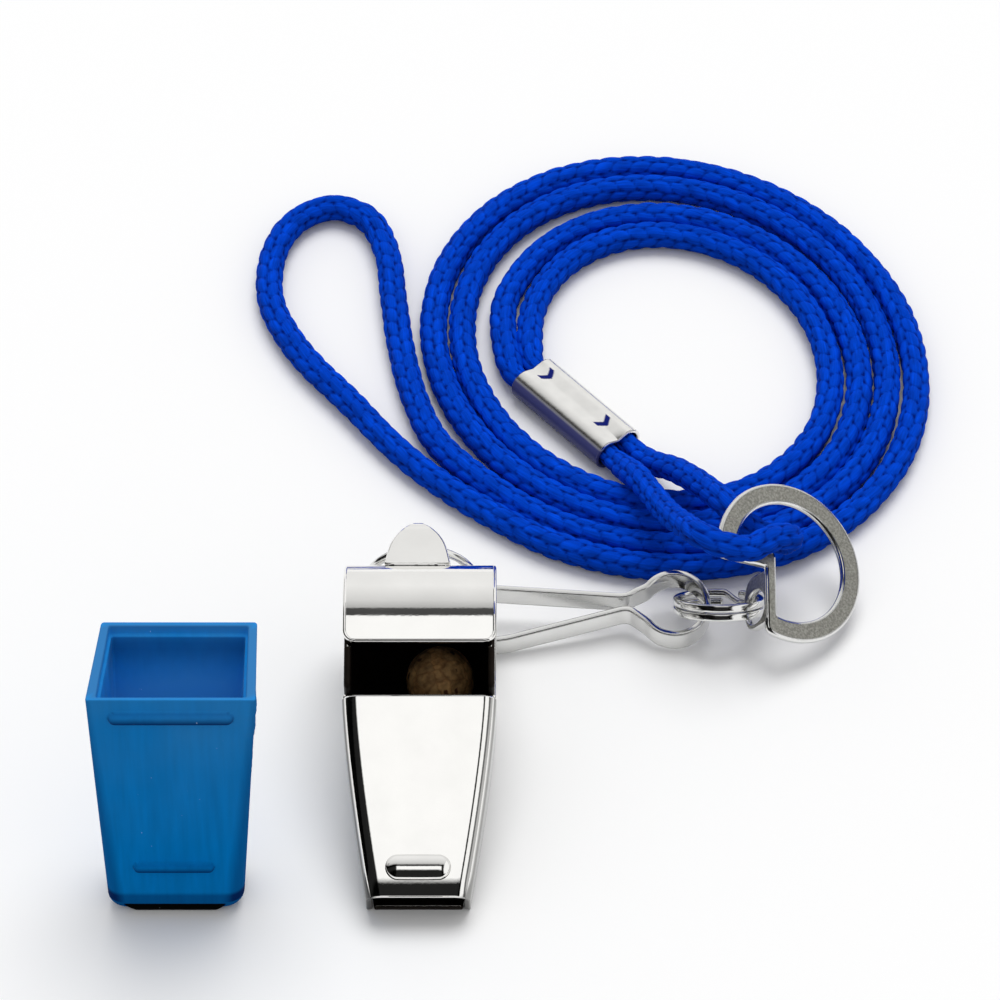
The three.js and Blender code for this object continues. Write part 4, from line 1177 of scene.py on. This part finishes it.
def on_flat(s, a, b, n):
    """Layout points from the flat ring's frame: a and b in its face, n up from it."""
    way_a = unit(FLAT_DOWN)
    way_n = unit(np.cross(way_a, FLAT_UP))
    way_b = np.cross(way_n, way_a)
    hole = split_middle(s) + split_way(s, s.ear_turn) * s.split_r
    middle = hole - way_a * (s.ear_fold + s.flat_t / 2) - way_b * s.ear_hole_b + way_n * s.ear_hole_s
    a, b, n = np.broadcast_arrays(a, b, n)
    return middle + a[..., None] * way_a + b[..., None] * way_b + n[..., None] * way_n


def face_grid(s):
    """Rows between two matched loops: a circle cut by the fold line with a tail, inside and out."""
    e = s.flat_edge
    outer, inner = s.flat_od / 2 - e, s.flat_od / 2 - s.flat_band + e
    fold, bar = s.ear_fold + e, s.ear_fold + s.ear_bar - e
    arcs = []
    for r, a, tail in ((outer, fold, s.tail_low + e), (inner, bar, s.tail_top - e)):
        turn = np.linspace(-math.pi + math.acos(-a / r), math.pi - math.asin(tail / r), 190)
        arc = r * np.stack([np.cos(turn), np.sin(turn)], -1)
        k = np.linspace(0, 1, 30)[1:, None]
        tail_run = arc[-1] * (1 - k) + np.array([a, tail]) * k
        k = np.linspace(0, 1, 40)[1:-1, None]
        bar_run = np.array([a, tail]) * (1 - k) + arc[0] * k
        arcs.append(rounded(np.concatenate([arc, tail_run, bar_run]), passes=6))
    rows = spread(0, 1, 6, margin=0.06)[:, None, None]
    grid = arcs[1][None] * (1 - rows) + arcs[0][None] * rows
    return on_flat(s, grid[..., 0], grid[..., 1], 0.0)


def ear_grid(s):
    """Rows from the ear's round hole out to its tongue-shaped outline, in the plane folded down."""
    e = s.ear_edge
    left, right = s.ear_mid - s.ear_w / 2 + e, s.ear_mid + s.ear_w / 2 - e
    deep, shoulder = s.ear_depth - e, s.ear_depth - s.ear_round
    root, corner = 0.3, 0.6
    tongue = np.concatenate([
        bend((left, shoulder), (left, deep), (s.ear_mid, deep)),
        bend((s.ear_mid, deep), (right, deep), (right, shoulder)),
        bend((right, root + corner), (right, root), (right - corner, root)),
        bend((left + corner, root), (left, root), (left, root + corner)),
    ])
    outline = soft_loop(tongue, count=240, passes=3)
    hole = np.array([s.ear_hole_b, s.ear_hole_s])
    bore = hole + unit(outline - hole) * (s.ear_hole_r + e)
    rows = spread(0, 1, 6, margin=0.06)[:, None, None]
    grid = bore[None] * (1 - rows) + outline[None] * rows
    return on_flat(s, s.ear_fold + s.flat_t / 2, grid[..., 0], s.flat_t / 2 - grid[..., 1])


# Lanyard

# Ends of the sleeve's middle line, in the table's plane
CRIMP_FROM = np.array([15.0, 59.6])
CRIMP_TO = np.array([26.8, 45.2])
CRIMP_RUN = np.linalg.norm(CRIMP_TO - CRIMP_FROM)
CRIMP_WAY = unit(CRIMP_TO - CRIMP_FROM)
CRIMP_SIDE = np.array([-CRIMP_WAY[1], CRIMP_WAY[0]])

# Where each cord passes in and out of the sleeve, as parts of its length, and the coil's turns
NECK_PLACES = (0.24, 0.02, -0.1)
RING_PLACES = (0.76, 0.98)
COIL_TURNS = (0.04, 1.85)


class WHISTLE_OT_cords(bpy.types.Operator):
    """Crimp sleeve, doubled neck cord and the short loop through the flat ring"""

    bl_idname = "whistle.cords"
    bl_label = "Add Lanyard"

    def execute(self, context):
        s = sizes(context.scene.whistle_lanyard)
        c = context.scene.whistle_finish
        sleeve = plate(crimp_grid(s), s.crimp_wall, s.crimp_edge, wrap=True)
        crimp = piece("crimp_sleeve", "lanyard", soft_alloy(c), [sleeve], "cord_crimp")
        attribute(crimp, "punch_and_shade", punch_marks_and_shade(s, sleeve[0]))
        neck_line = smooth_line(through(neck_route(s)), step=0.36)
        neck = cord_piece(s, "neck_braid", neck_line, polyester(c), "neck_cord", s.cord_swell)
        ring_line = smooth_line(through(ring_route(s)), step=0.3)
        loop = cord_piece(s, "loop_braid", ring_line, polyester(c), "ring_loop_cord")
        return {"FINISHED"}


def crimp_point(s, k, side):
    """Point in the middle of one bore, at a part k of the sleeve's length."""
    flat = CRIMP_FROM + (CRIMP_TO - CRIMP_FROM) * k + CRIMP_SIDE * side * s.crimp_half
    return [flat[0], flat[1], s.crimp_bore + s.crimp_wall]


def crimp_grid(s):
    """Profile along a path: two overlapping circles joined into an eight whose waist is filled
    to a shallow groove, at mid-wall, carried along the sleeve's straight run; on top the groove
    deepens towards both ends."""
    r = s.crimp_bore + s.crimp_wall / 2
    cut = math.acos(s.crimp_half / r)
    turn = np.linspace(-math.pi + cut, math.pi - cut, 110)
    lobe = np.stack([s.crimp_half + r * np.cos(turn), r * np.sin(turn)], -1)
    loop = np.concatenate([lobe[:-1], -lobe[:-1]])
    waist = np.abs(loop[:, 0]) < s.crimp_half
    groove = r - s.crimp_groove * (1 - np.abs(loop[:, 0]) / s.crimp_half)
    loop[waist, 1] = (np.sign(loop[:, 1]) * groove)[waist]
    loop = rounded(loop, passes=10)[None]
    at = spread(s.crimp_edge, CRIMP_RUN - s.crimp_edge, 130, margin=0.08)[:, None, None]
    flat = CRIMP_FROM + at * CRIMP_WAY + loop[..., :1] * CRIMP_SIDE
    valley = np.clip(1 - np.abs(loop[..., :1]) / s.crimp_half, 0, 1) * (loop[..., 1:] > 0)
    deeper = s.crimp_valley * np.exp(-np.minimum(at, CRIMP_RUN - at) / s.valley_run)
    high = s.crimp_bore + s.crimp_wall + loop[..., 1:] - deeper * valley
    return np.concatenate([flat, high], -1)


def punch_marks_and_shade(s, points):
    """1 inside two V-shaped marks on the sleeve's top, and almost 1 low on its outer side, painted
    shade for the dark reflection there, else 0."""
    places, middle, slant = (0.17, 0.82), 0.5, 0.8
    half_wide, half_span = 0.5, 1.15
    low_side_shade, shade_top, blend = 0.92, 0.82, 0.15
    flat = points[:, :2] - CRIMP_FROM
    along = flat @ CRIMP_WAY
    across = flat @ CRIMP_SIDE
    high = points[:, 2] / (s.crimp_bore + s.crimp_wall) - 1
    aside = np.abs(across - middle)
    mark = np.zeros(len(points))
    for k in places:
        v = along - k * CRIMP_RUN + aside * slant
        mark[(np.abs(v) < half_wide) & (aside < half_span) & (high > 0)] = 1
    # Painted shade low on the sleeve's outer side, standing in for a dark reflection
    outer = across * np.sign(CRIMP_SIDE[1]) < -s.crimp_half
    return np.maximum(mark, low_side_shade * fade(shade_top - high, blend) * outer)


def coil_point(s, t, side):
    """Sheared oval spiral: x = cx + rx cos a, y = cy + ry sin a - shear rx cos a, a half turn
    less t turns, both half axes growing with t; side is -1 for the inner strand, 1 for the outer."""
    a = math.pi - TAU * t
    rx = s.coil_rx + s.grow_x * t + side * s.pair / 2
    ry = s.coil_ry + s.grow_y * t + side * s.pair / 2
    x = s.coil_x + s.shift_x * t + rx * np.cos(a)
    y = s.coil_y + s.shift_y * t + ry * np.sin(a) - s.coil_shear * rx * np.cos(a)
    return np.stack([x, y, np.full_like(x, s.cord_z)], -1)


def neck_route(s):
    """Out of the crimp, round the coil, through the end loop and back round to the crimp."""
    strands = []
    for side in (-1, 1):
        start = [crimp_point(s, k, -side) for k in (s.crimp_grip, *NECK_PLACES)]
        strands.append(np.concatenate([start, coil_point(s, np.linspace(*COIL_TURNS, 44), side)]))
    end = np.concatenate([END_LOOP, np.full((len(END_LOOP), 1), s.cord_z)], 1)
    return np.concatenate([strands[0], end, strands[1][::-1]])


def ring_route(s):
    """Out of one bore of the crimp, through the flat ring and back into the other bore."""
    places = (1 - s.crimp_grip, *RING_PLACES)
    out = [crimp_point(s, k, 1) for k in places]
    home = [crimp_point(s, k, -1) for k in places[::-1]]
    return np.concatenate([out, RING_LOOP, home])


def braid(s, along, around):
    """Height of a solid braid in 0..1 and coordinates across and along its stitches. Columns of
    stitches run along the cord and twist slowly round it, half a stitch out of step with their
    neighbours and slanted the other way; a stitch is a pillow, lowest at its corners, and each
    stands a little higher or lower by a seeded random number."""
    column = s.columns * around / TAU + s.columns * along / s.braid_twist
    k = np.floor(column)
    across = 2 * (column - k) - 1
    side = 1 - 2 * (k % 2)
    slant, stagger = 0.22, 0.25
    run = along / s.braid_pitch + side * (slant * across + stagger)
    n = np.floor(run)
    stitch = 2 * (run - n) - 1
    repeat, lowest = 101, 0.82
    loose = np.random.default_rng(8).uniform(lowest, 1, (s.columns, repeat))
    loose = loose[(k % s.columns).astype(int), (n % repeat).astype(int)]
    side_drop = 0.62 * np.abs(across) ** 2.2
    end_drop = 0.7 * np.abs(stitch) ** 2.6
    return loose * np.clip(1 - side_drop - end_drop, 0, 1), across / 2 + 2 * k, run


def cord_piece(s, name, line, material, node, swell=0, around=36):
    """Tube along a line, its radius lowered by the braid's relief, with the braid's height as an
    attribute and strand coordinates as a UV map. The crimp squeezes its ends."""
    along = unit(np.gradient(line, axis=0))
    side = unit(np.cross(UP, along))
    up = np.cross(along, side)
    run = distances(line)
    turn = np.linspace(0, TAU, around, endpoint=False)
    lift, u, v = braid(s, run[:, None], turn[None, :])
    held = s.crimp_grip * CRIMP_RUN
    k = fade(np.minimum(run, run[-1] - run) - held, s.crimp_ease)
    grow = s.crimp_squeeze + (1 - s.crimp_squeeze) * ease(k)
    r = (s.cord_r + swell * k[:, None] - s.braid_lift * (1 - lift)) * grow[:, None]
    out = np.cos(turn)[:, None] * up[:, None] + np.sin(turn)[:, None] * side[:, None]
    loops = line[:, None] + r[..., None] * out
    obj = piece(name, "lanyard", material, [tube(loops)], node)
    attribute(obj, "lift", np.concatenate([lift.ravel(), [0.5, 0.5]]))
    corner = np.zeros(len(obj.data.loops), dtype=np.int64)
    obj.data.loops.foreach_get("vertex_index", corner)
    spots = np.concatenate([np.stack([u, v], -1).reshape(-1, 2), np.zeros((2, 2))])
    uv = obj.data.uv_layers.new(name="stitch").data
    uv.foreach_set("uv", spots[corner].astype(np.float32).ravel())
    return obj


# Mouth cap


class WHISTLE_OT_cap(bpy.types.Operator):
    """Rubber mouth cap standing by itself"""

    bl_idname = "whistle.cap"
    bl_label = "Add Mouth Cap"

    def execute(self, context):
        s = sizes(context.scene.whistle_cap)
        grid, marks = cap_grid(s)
        shell = grid.reshape(-1, 3), quads(*grid.shape[:2], wrap_rows=True, wrap_cols=True).tolist()
        cap = piece("cap_rubber", "cap", rubber(context.scene.whistle_finish), [shell], "mouth_cap")
        for name, values in marks.items():
            attribute(cap, name, values)
        cap.visible_glossy = False
        return {"FINISHED"}


def cap_profile(s):
    """The cap's section as (height, inset) pairs: toe, outer wall, rim, inner lip, ledge, inner
    wall and foot. Returns them and how many lie on the outside."""
    curl = np.linspace(0, math.pi / 2, 30)
    quarter = np.linspace(0, math.pi / 2, 10)
    r = s.lip_r
    toe = s.toe - s.toe * np.stack([np.cos(curl), np.sin(curl)], -1)
    wall_z = np.linspace(s.toe + 0.1, s.high - 0.5, 170)
    wall = np.stack([wall_z, 0 * wall_z], -1)
    rim = np.stack([s.high - r + r * np.sin(quarter), r - r * np.cos(quarter)], -1)
    lip = np.stack([s.high - r + r * np.cos(quarter), s.wall - r + r * np.sin(quarter)], -1)
    ledge = np.array([s.high, s.wall]) + CAP_LEDGE
    inside_z = np.linspace(s.high - 2.2, s.toe + 0.2, 40)
    inside = np.stack([inside_z, np.full_like(inside_z, s.wall + s.ledge)], -1)
    return np.concatenate([toe, wall, rim, lip, ledge, inside, CAP_FOOT]), len(toe) + len(wall)


def cap_outline(s, z, inset):
    """Rounded rectangle at each height, from the front's left end round by the right: it widens
    with height and its corners tighten. Returns x and y about its middle, where its corners
    start, its half width, its depth and which columns are the front."""
    k = z / s.high
    half = (s.foot_w * (1 - k) + s.rim_w * k) / 2 - inset
    depth = s.foot_d * (1 - k) + s.rim_d * k
    least = 0.3
    a = np.maximum(s.corner * (1 - k) + s.rim_corner * k - inset / 2, least)
    x0, y0 = half - a, depth / 2 - inset - a
    flat = np.linspace(-1, 1, 120)[1:-1]
    short = np.linspace(-1, 1, 16)[1:-1]
    quarter = np.linspace(0, math.pi / 2, 10)
    sin, cos = np.sin(quarter), np.cos(quarter)
    right_x = [flat * x0, x0 + a * sin, x0 + a + 0 * short, x0 + a * cos]
    right_y = [-y0 - a + 0 * flat, -y0 - a * cos, short * y0, y0 + a * sin]
    x = np.concatenate([*right_x, *(-part for part in right_x)], 1)
    y = np.concatenate([*right_y, *(-part for part in right_y)], 1)
    return x, y, x0, half, depth, np.arange(x.shape[1]) < len(flat)


def cap_grid(s):
    """Profile along a path: the section carried round a rounded rectangle that leans back and
    narrows to its back. The walls thin towards the rim, two pill-shaped ribs lift the front, a
    slot is set back under the front, and ripples ruffle the mould line down the right edge; the
    inner back wall curves forward below the rim. Returns the grid and, point by point, how
    rubbed it is, its painted light and its painted shade."""
    profile, outer_rows = cap_profile(s)
    z, inset = profile[:, :1], profile[:, 1:]
    k = z / s.high
    x, y, x0, half, depth, front = cap_outline(s, z, inset)
    far = y / depth + 0.5
    z = z + 0 * x
    down = s.high - z
    beside = np.abs(x)
    outer = inset < 0.01
    face = front & outer
    outside = (np.arange(len(profile)) < outer_rows)[:, None]

    # Walls that thin towards the rim
    front_part, back_part, blend = 0.3, 0.7, 0.15
    fuller = s.back_thin * fade(far - back_part, blend) - s.front_thin * fade(front_part - far, blend)
    y = y + fuller * fade(inset, s.wall) * fade(s.thin_run - down, s.thin_run)

    # Painted shade beside the front's corners
    painted_shade, margin, blend = 0.45, 0.4, 1.2
    dark = painted_shade * outer * fade(beside - x0 + margin, blend) * fade(0.35 - far, 0.1)

    # Ribs, with painted shade in a halo round them that is darkest below
    halo, faint, shade_from = 0.15, 0.3, 0.45
    for (place, margin, tall), wide in ((RIM_RIB, s.rim_w), (FOOT_RIB, s.foot_w)):
        rise = (z - place * s.high) / (tall / 2)
        aside = np.clip(beside - (wide - margin - tall) / 2, 0, None) / (tall / 2)
        away = np.hypot(aside, rise)
        y = y - face * s.rib * np.sqrt(np.clip(1 - away**3, 0, 1))
        below = np.clip(shade_from - rise, 0, 1)
        dark = dark + face * fade(1 + halo - away, halo) * (faint + (1 - faint) * below)

    # Scoop of the inner back wall, clear of the front wall: painted shade under the ledge, painted light
    # lower down
    inner_part, blend, clear = 0.6, 0.15, 0.8
    inner_back = (inset > s.wall + 0.3) * fade(far - inner_part, blend)
    below = np.clip(down - s.scoop_from, 0, s.scoop_run)
    room = depth - 2 * inset - clear
    y = y - inner_back * np.minimum(s.scoop * (below / s.scoop_run) ** 2, room)
    inner_painted_light = 2.2 * inner_back * hump(below, middle=8.5, width=4)
    dark = dark + 0.5 * inner_back * hump(below, middle=1, width=2.5)

    # Slot under the front, painted black inside as shadow, with the toe's curl drawn straight above it
    left_end, right_end, set_back = 1.0, 1.9, 0.25
    slot_half = s.foot_w / 2 - np.where(x > 0, right_end, left_end)
    under = front * outside * fade(slot_half - beside, 0.3) * fade(s.slot - z, 0.12)
    corner, blend, uncurl = 1.2, 2.4, 0.75
    straight = front * outside * fade(s.foot_w / 2 - corner - beside, blend)
    y = y - uncurl * straight * inset + set_back * under
    # Painted shade over the lowest few millimetres of the outside
    painted_shade, high, blend = 0.55, 4, 0.6
    dark = dark + painted_shade * outside * fade(high - z, blend)
    black = 2
    dark = np.where(under > 0.5, black, np.clip(dark, 0, 1))

    # Ruffled mould line down the right edge, then the cap's taper, sway and lean
    low, blend = 14, 8
    line = hump(far, middle=0.12, width=0.1) * np.clip(x - half + 1.5, 0, 1)
    line = line * outer * fade(low - down, blend)
    spots = np.stack([0 * z, 0 * z, z], -1)
    ruffle = ripples(spots, wave=3.0, seed=4) + 0.5 * ripples(spots, wave=0.9, seed=9)
    x = x + s.flash * line * np.clip(ruffle, 0, 1)
    x = x * (1 - s.taper * far) + s.sway * k + s.skew * far
    y = y + s.lean * k + depth / 2

    # Rubbed rim, less at its front and back, and rubbed spots on the mould line
    least, part, blend = 0.15, 0.46, 0.05
    sides = least + (1 - least) * fade(part - np.abs(far - 0.5), blend)
    worn = sides * fade(0.35 - down, 0.25) + 0.5 * line * (ripples(spots, wave=2.0, seed=3) > 0.3)
    marks = {"worn": np.clip(worn, 0, 1), "inner_painted_light": inner_painted_light, "dark": dark}
    return np.stack([s.x + x, s.y + y, z], -1), marks


# Stage

# Half the table's side, in metres
TABLE_REACH = 4


class WHISTLE_OT_stage(bpy.types.Operator):
    """White table, studio light and camera"""

    bl_idname = "whistle.stage"
    bl_label = "Add Stage"

    def execute(self, context):
        g = context.scene.whistle_stage
        c = context.scene.whistle_finish
        mesh = bpy.data.meshes.new("table")
        r = TABLE_REACH
        mesh.from_pydata([(-r, -r, 0), (r, -r, 0), (r, r, 0), (-r, r, 0)], [], [(0, 1, 2, 3)])
        mesh.materials.append(table_paper(c))
        table = bpy.data.objects.new("table", mesh)
        context.scene.collection.objects.link(table)
        lens = bpy.data.cameras.new("camera")
        lens.lens = g.lens
        lens.sensor_width = 36
        lens.clip_end = 100
        camera = bpy.data.objects.new("camera", lens)
        context.scene.collection.objects.link(camera)
        back = np.array([0, -math.cos(g.elevation), math.sin(g.elevation)])
        camera.location = np.array(g.aim) + back * g.distance
        camera.rotation_euler = (math.pi / 2 - g.elevation, 0, 0)
        context.scene.camera = camera
        soft_lamp(context.scene, g)
        studio(context.scene, g)
        context.scene.view_settings.view_transform = "Standard"
        return {"FINISHED"}


@finish("white table paper")
def table_paper(tree, shader, c):
    # White table paper: an even matt white that keeps soft shadows, and throws back less light
    # than it shows so that undersides stay dark
    ray = add_node(tree, "LightPath").outputs
    tone = add_node(tree, "Mix", {
        "Factor": ray["Is Diffuse Ray"], A: c.floor[:], B: c.bounce[:]}, **MIX)
    add_node(tree, shader, {"Base Color": tone.outputs[MIXED], "Roughness": 0.9, "Specular IOR Level": 0.0})


def soft_lamp(scene, g):
    """Wide lamp high behind the table, for shadows that fall gently towards the camera; the
    metal doesn't show it."""
    lamp = bpy.data.lights.new("soft_lamp", "SUN")
    lamp.energy = g.lamp
    lamp.angle = g.lamp_width
    holder = bpy.data.objects.new("soft_lamp", lamp)
    holder.rotation_euler = (-g.lamp_back, g.lamp_side, 0)
    holder.visible_glossy = False
    scene.collection.objects.link(holder)


def studio(scene, g):
    """Plain white dome for matt surfaces. Mirrors see white cards with black gaps between: the
    brightness changes with the direction's Y, front to back, its X, left to right, and its Z."""
    world = bpy.data.worlds.new("studio")
    world.use_nodes = True
    scene.world = world
    tree = world.node_tree
    place = add_node(tree, "TexCoord").outputs["Generated"]
    way = add_node(tree, "SeparateXYZ", {0: place}).outputs
    ramps = (("Y", FRONT_TO_BACK), ("X", LEFT_TO_RIGHT), ("X", RIGHT_CARD), ("Z", HIGH_UP),
             ("Y", WELL_BACK), ("Z", OVER_TABLE), ("Y", FAR_BACK))
    bands = []
    for axis, stops in ramps:
        part = add_node(tree, "MapRange", {"Value": way[axis], "From Min": -1.0}).outputs["Result"]
        greys = [((at + 1) / 2, (light, light, light, 1)) for at, light in stops]
        bands.append(add_node(tree, "ValToRGB", {"Fac": part}, greys).outputs["Color"])
    front_back, left_right, right_card, high_up, well_back, over_table, far_back = bands
    vault = add_node(tree, "Mix", {"Factor": 1.0, A: high_up, B: well_back}, **MULTIPLY).outputs[MIXED]
    wall = add_node(tree, "Mix", {"Factor": 1.0, A: over_table, B: far_back}, **MULTIPLY).outputs[MIXED]
    behind = add_node(tree, "Mix", {"Factor": 1.0, A: wall, B: vault}, **LIGHTEN).outputs[MIXED]
    sides = add_node(tree, "Mix", {"Factor": 1.0, A: left_right, B: behind}, **LIGHTEN).outputs[MIXED]
    over = add_node(tree, "Mix", {"Factor": 1.0, A: front_back, B: sides}, **MULTIPLY).outputs[MIXED]
    cards = add_node(tree, "Mix", {"Factor": 1.0, A: over, B: right_card}, **LIGHTEN).outputs[MIXED]
    ray = add_node(tree, "LightPath").outputs
    dome = add_node(tree, tree.nodes["Background"], {"Color": WHITE, "Strength": g.dome}).outputs[0]
    seen = add_node(tree, "Background", {"Color": WHITE, "Strength": 1.0}).outputs[0]
    shown = add_node(tree, "Background", {"Color": cards, "Strength": g.cards}).outputs[0]
    matt = add_node(tree, "MixShader", {0: ray["Is Camera Ray"], 1: dome, 2: seen}).outputs[0]
    both = add_node(tree, "MixShader", {0: ray["Is Glossy Ray"], 1: matt, 2: shown})
    add_node(tree, tree.nodes["World Output"], {"Surface": both.outputs[0]})


class WHISTLE_PT_panel(bpy.types.Panel):
    """Buttons of the whistle builder"""

    bl_idname = "WHISTLE_PT_panel"
    bl_label = "Whistle"
    bl_space_type = "VIEW_3D"
    bl_region_type = "UI"
    bl_category = "Whistle"

    def draw(self, context):
        for operator in OPERATORS:
            self.layout.operator(operator.bl_idname)


OPERATORS = (
    WHISTLE_OT_shell, WHISTLE_OT_pea, WHISTLE_OT_wire_ring, WHISTLE_OT_clip, WHISTLE_OT_split_ring,
    WHISTLE_OT_flat_ring, WHISTLE_OT_cords, WHISTLE_OT_cap, WHISTLE_OT_stage,
)


def register():
    for kind in (*GROUPS.values(), *OPERATORS, WHISTLE_PT_panel):
        bpy.utils.register_class(kind)
    for name, kind in GROUPS.items():
        setattr(bpy.types.Scene, name, bpy.props.PointerProperty(type=kind))


def unregister():
    for name in GROUPS:
        delattr(bpy.types.Scene, name)
    for kind in (WHISTLE_PT_panel, *reversed(OPERATORS), *GROUPS.values()):
        bpy.utils.unregister_class(kind)


def main():
    register()
    bpy.ops.whistle.shell()
    bpy.ops.whistle.pea()
    bpy.ops.whistle.wire_ring()
    bpy.ops.whistle.clip()
    bpy.ops.whistle.split_ring()
    bpy.ops.whistle.flat_ring()
    bpy.ops.whistle.cords()
    bpy.ops.whistle.cap()
    bpy.ops.whistle.stage()


if __name__ == "__main__":
    main()
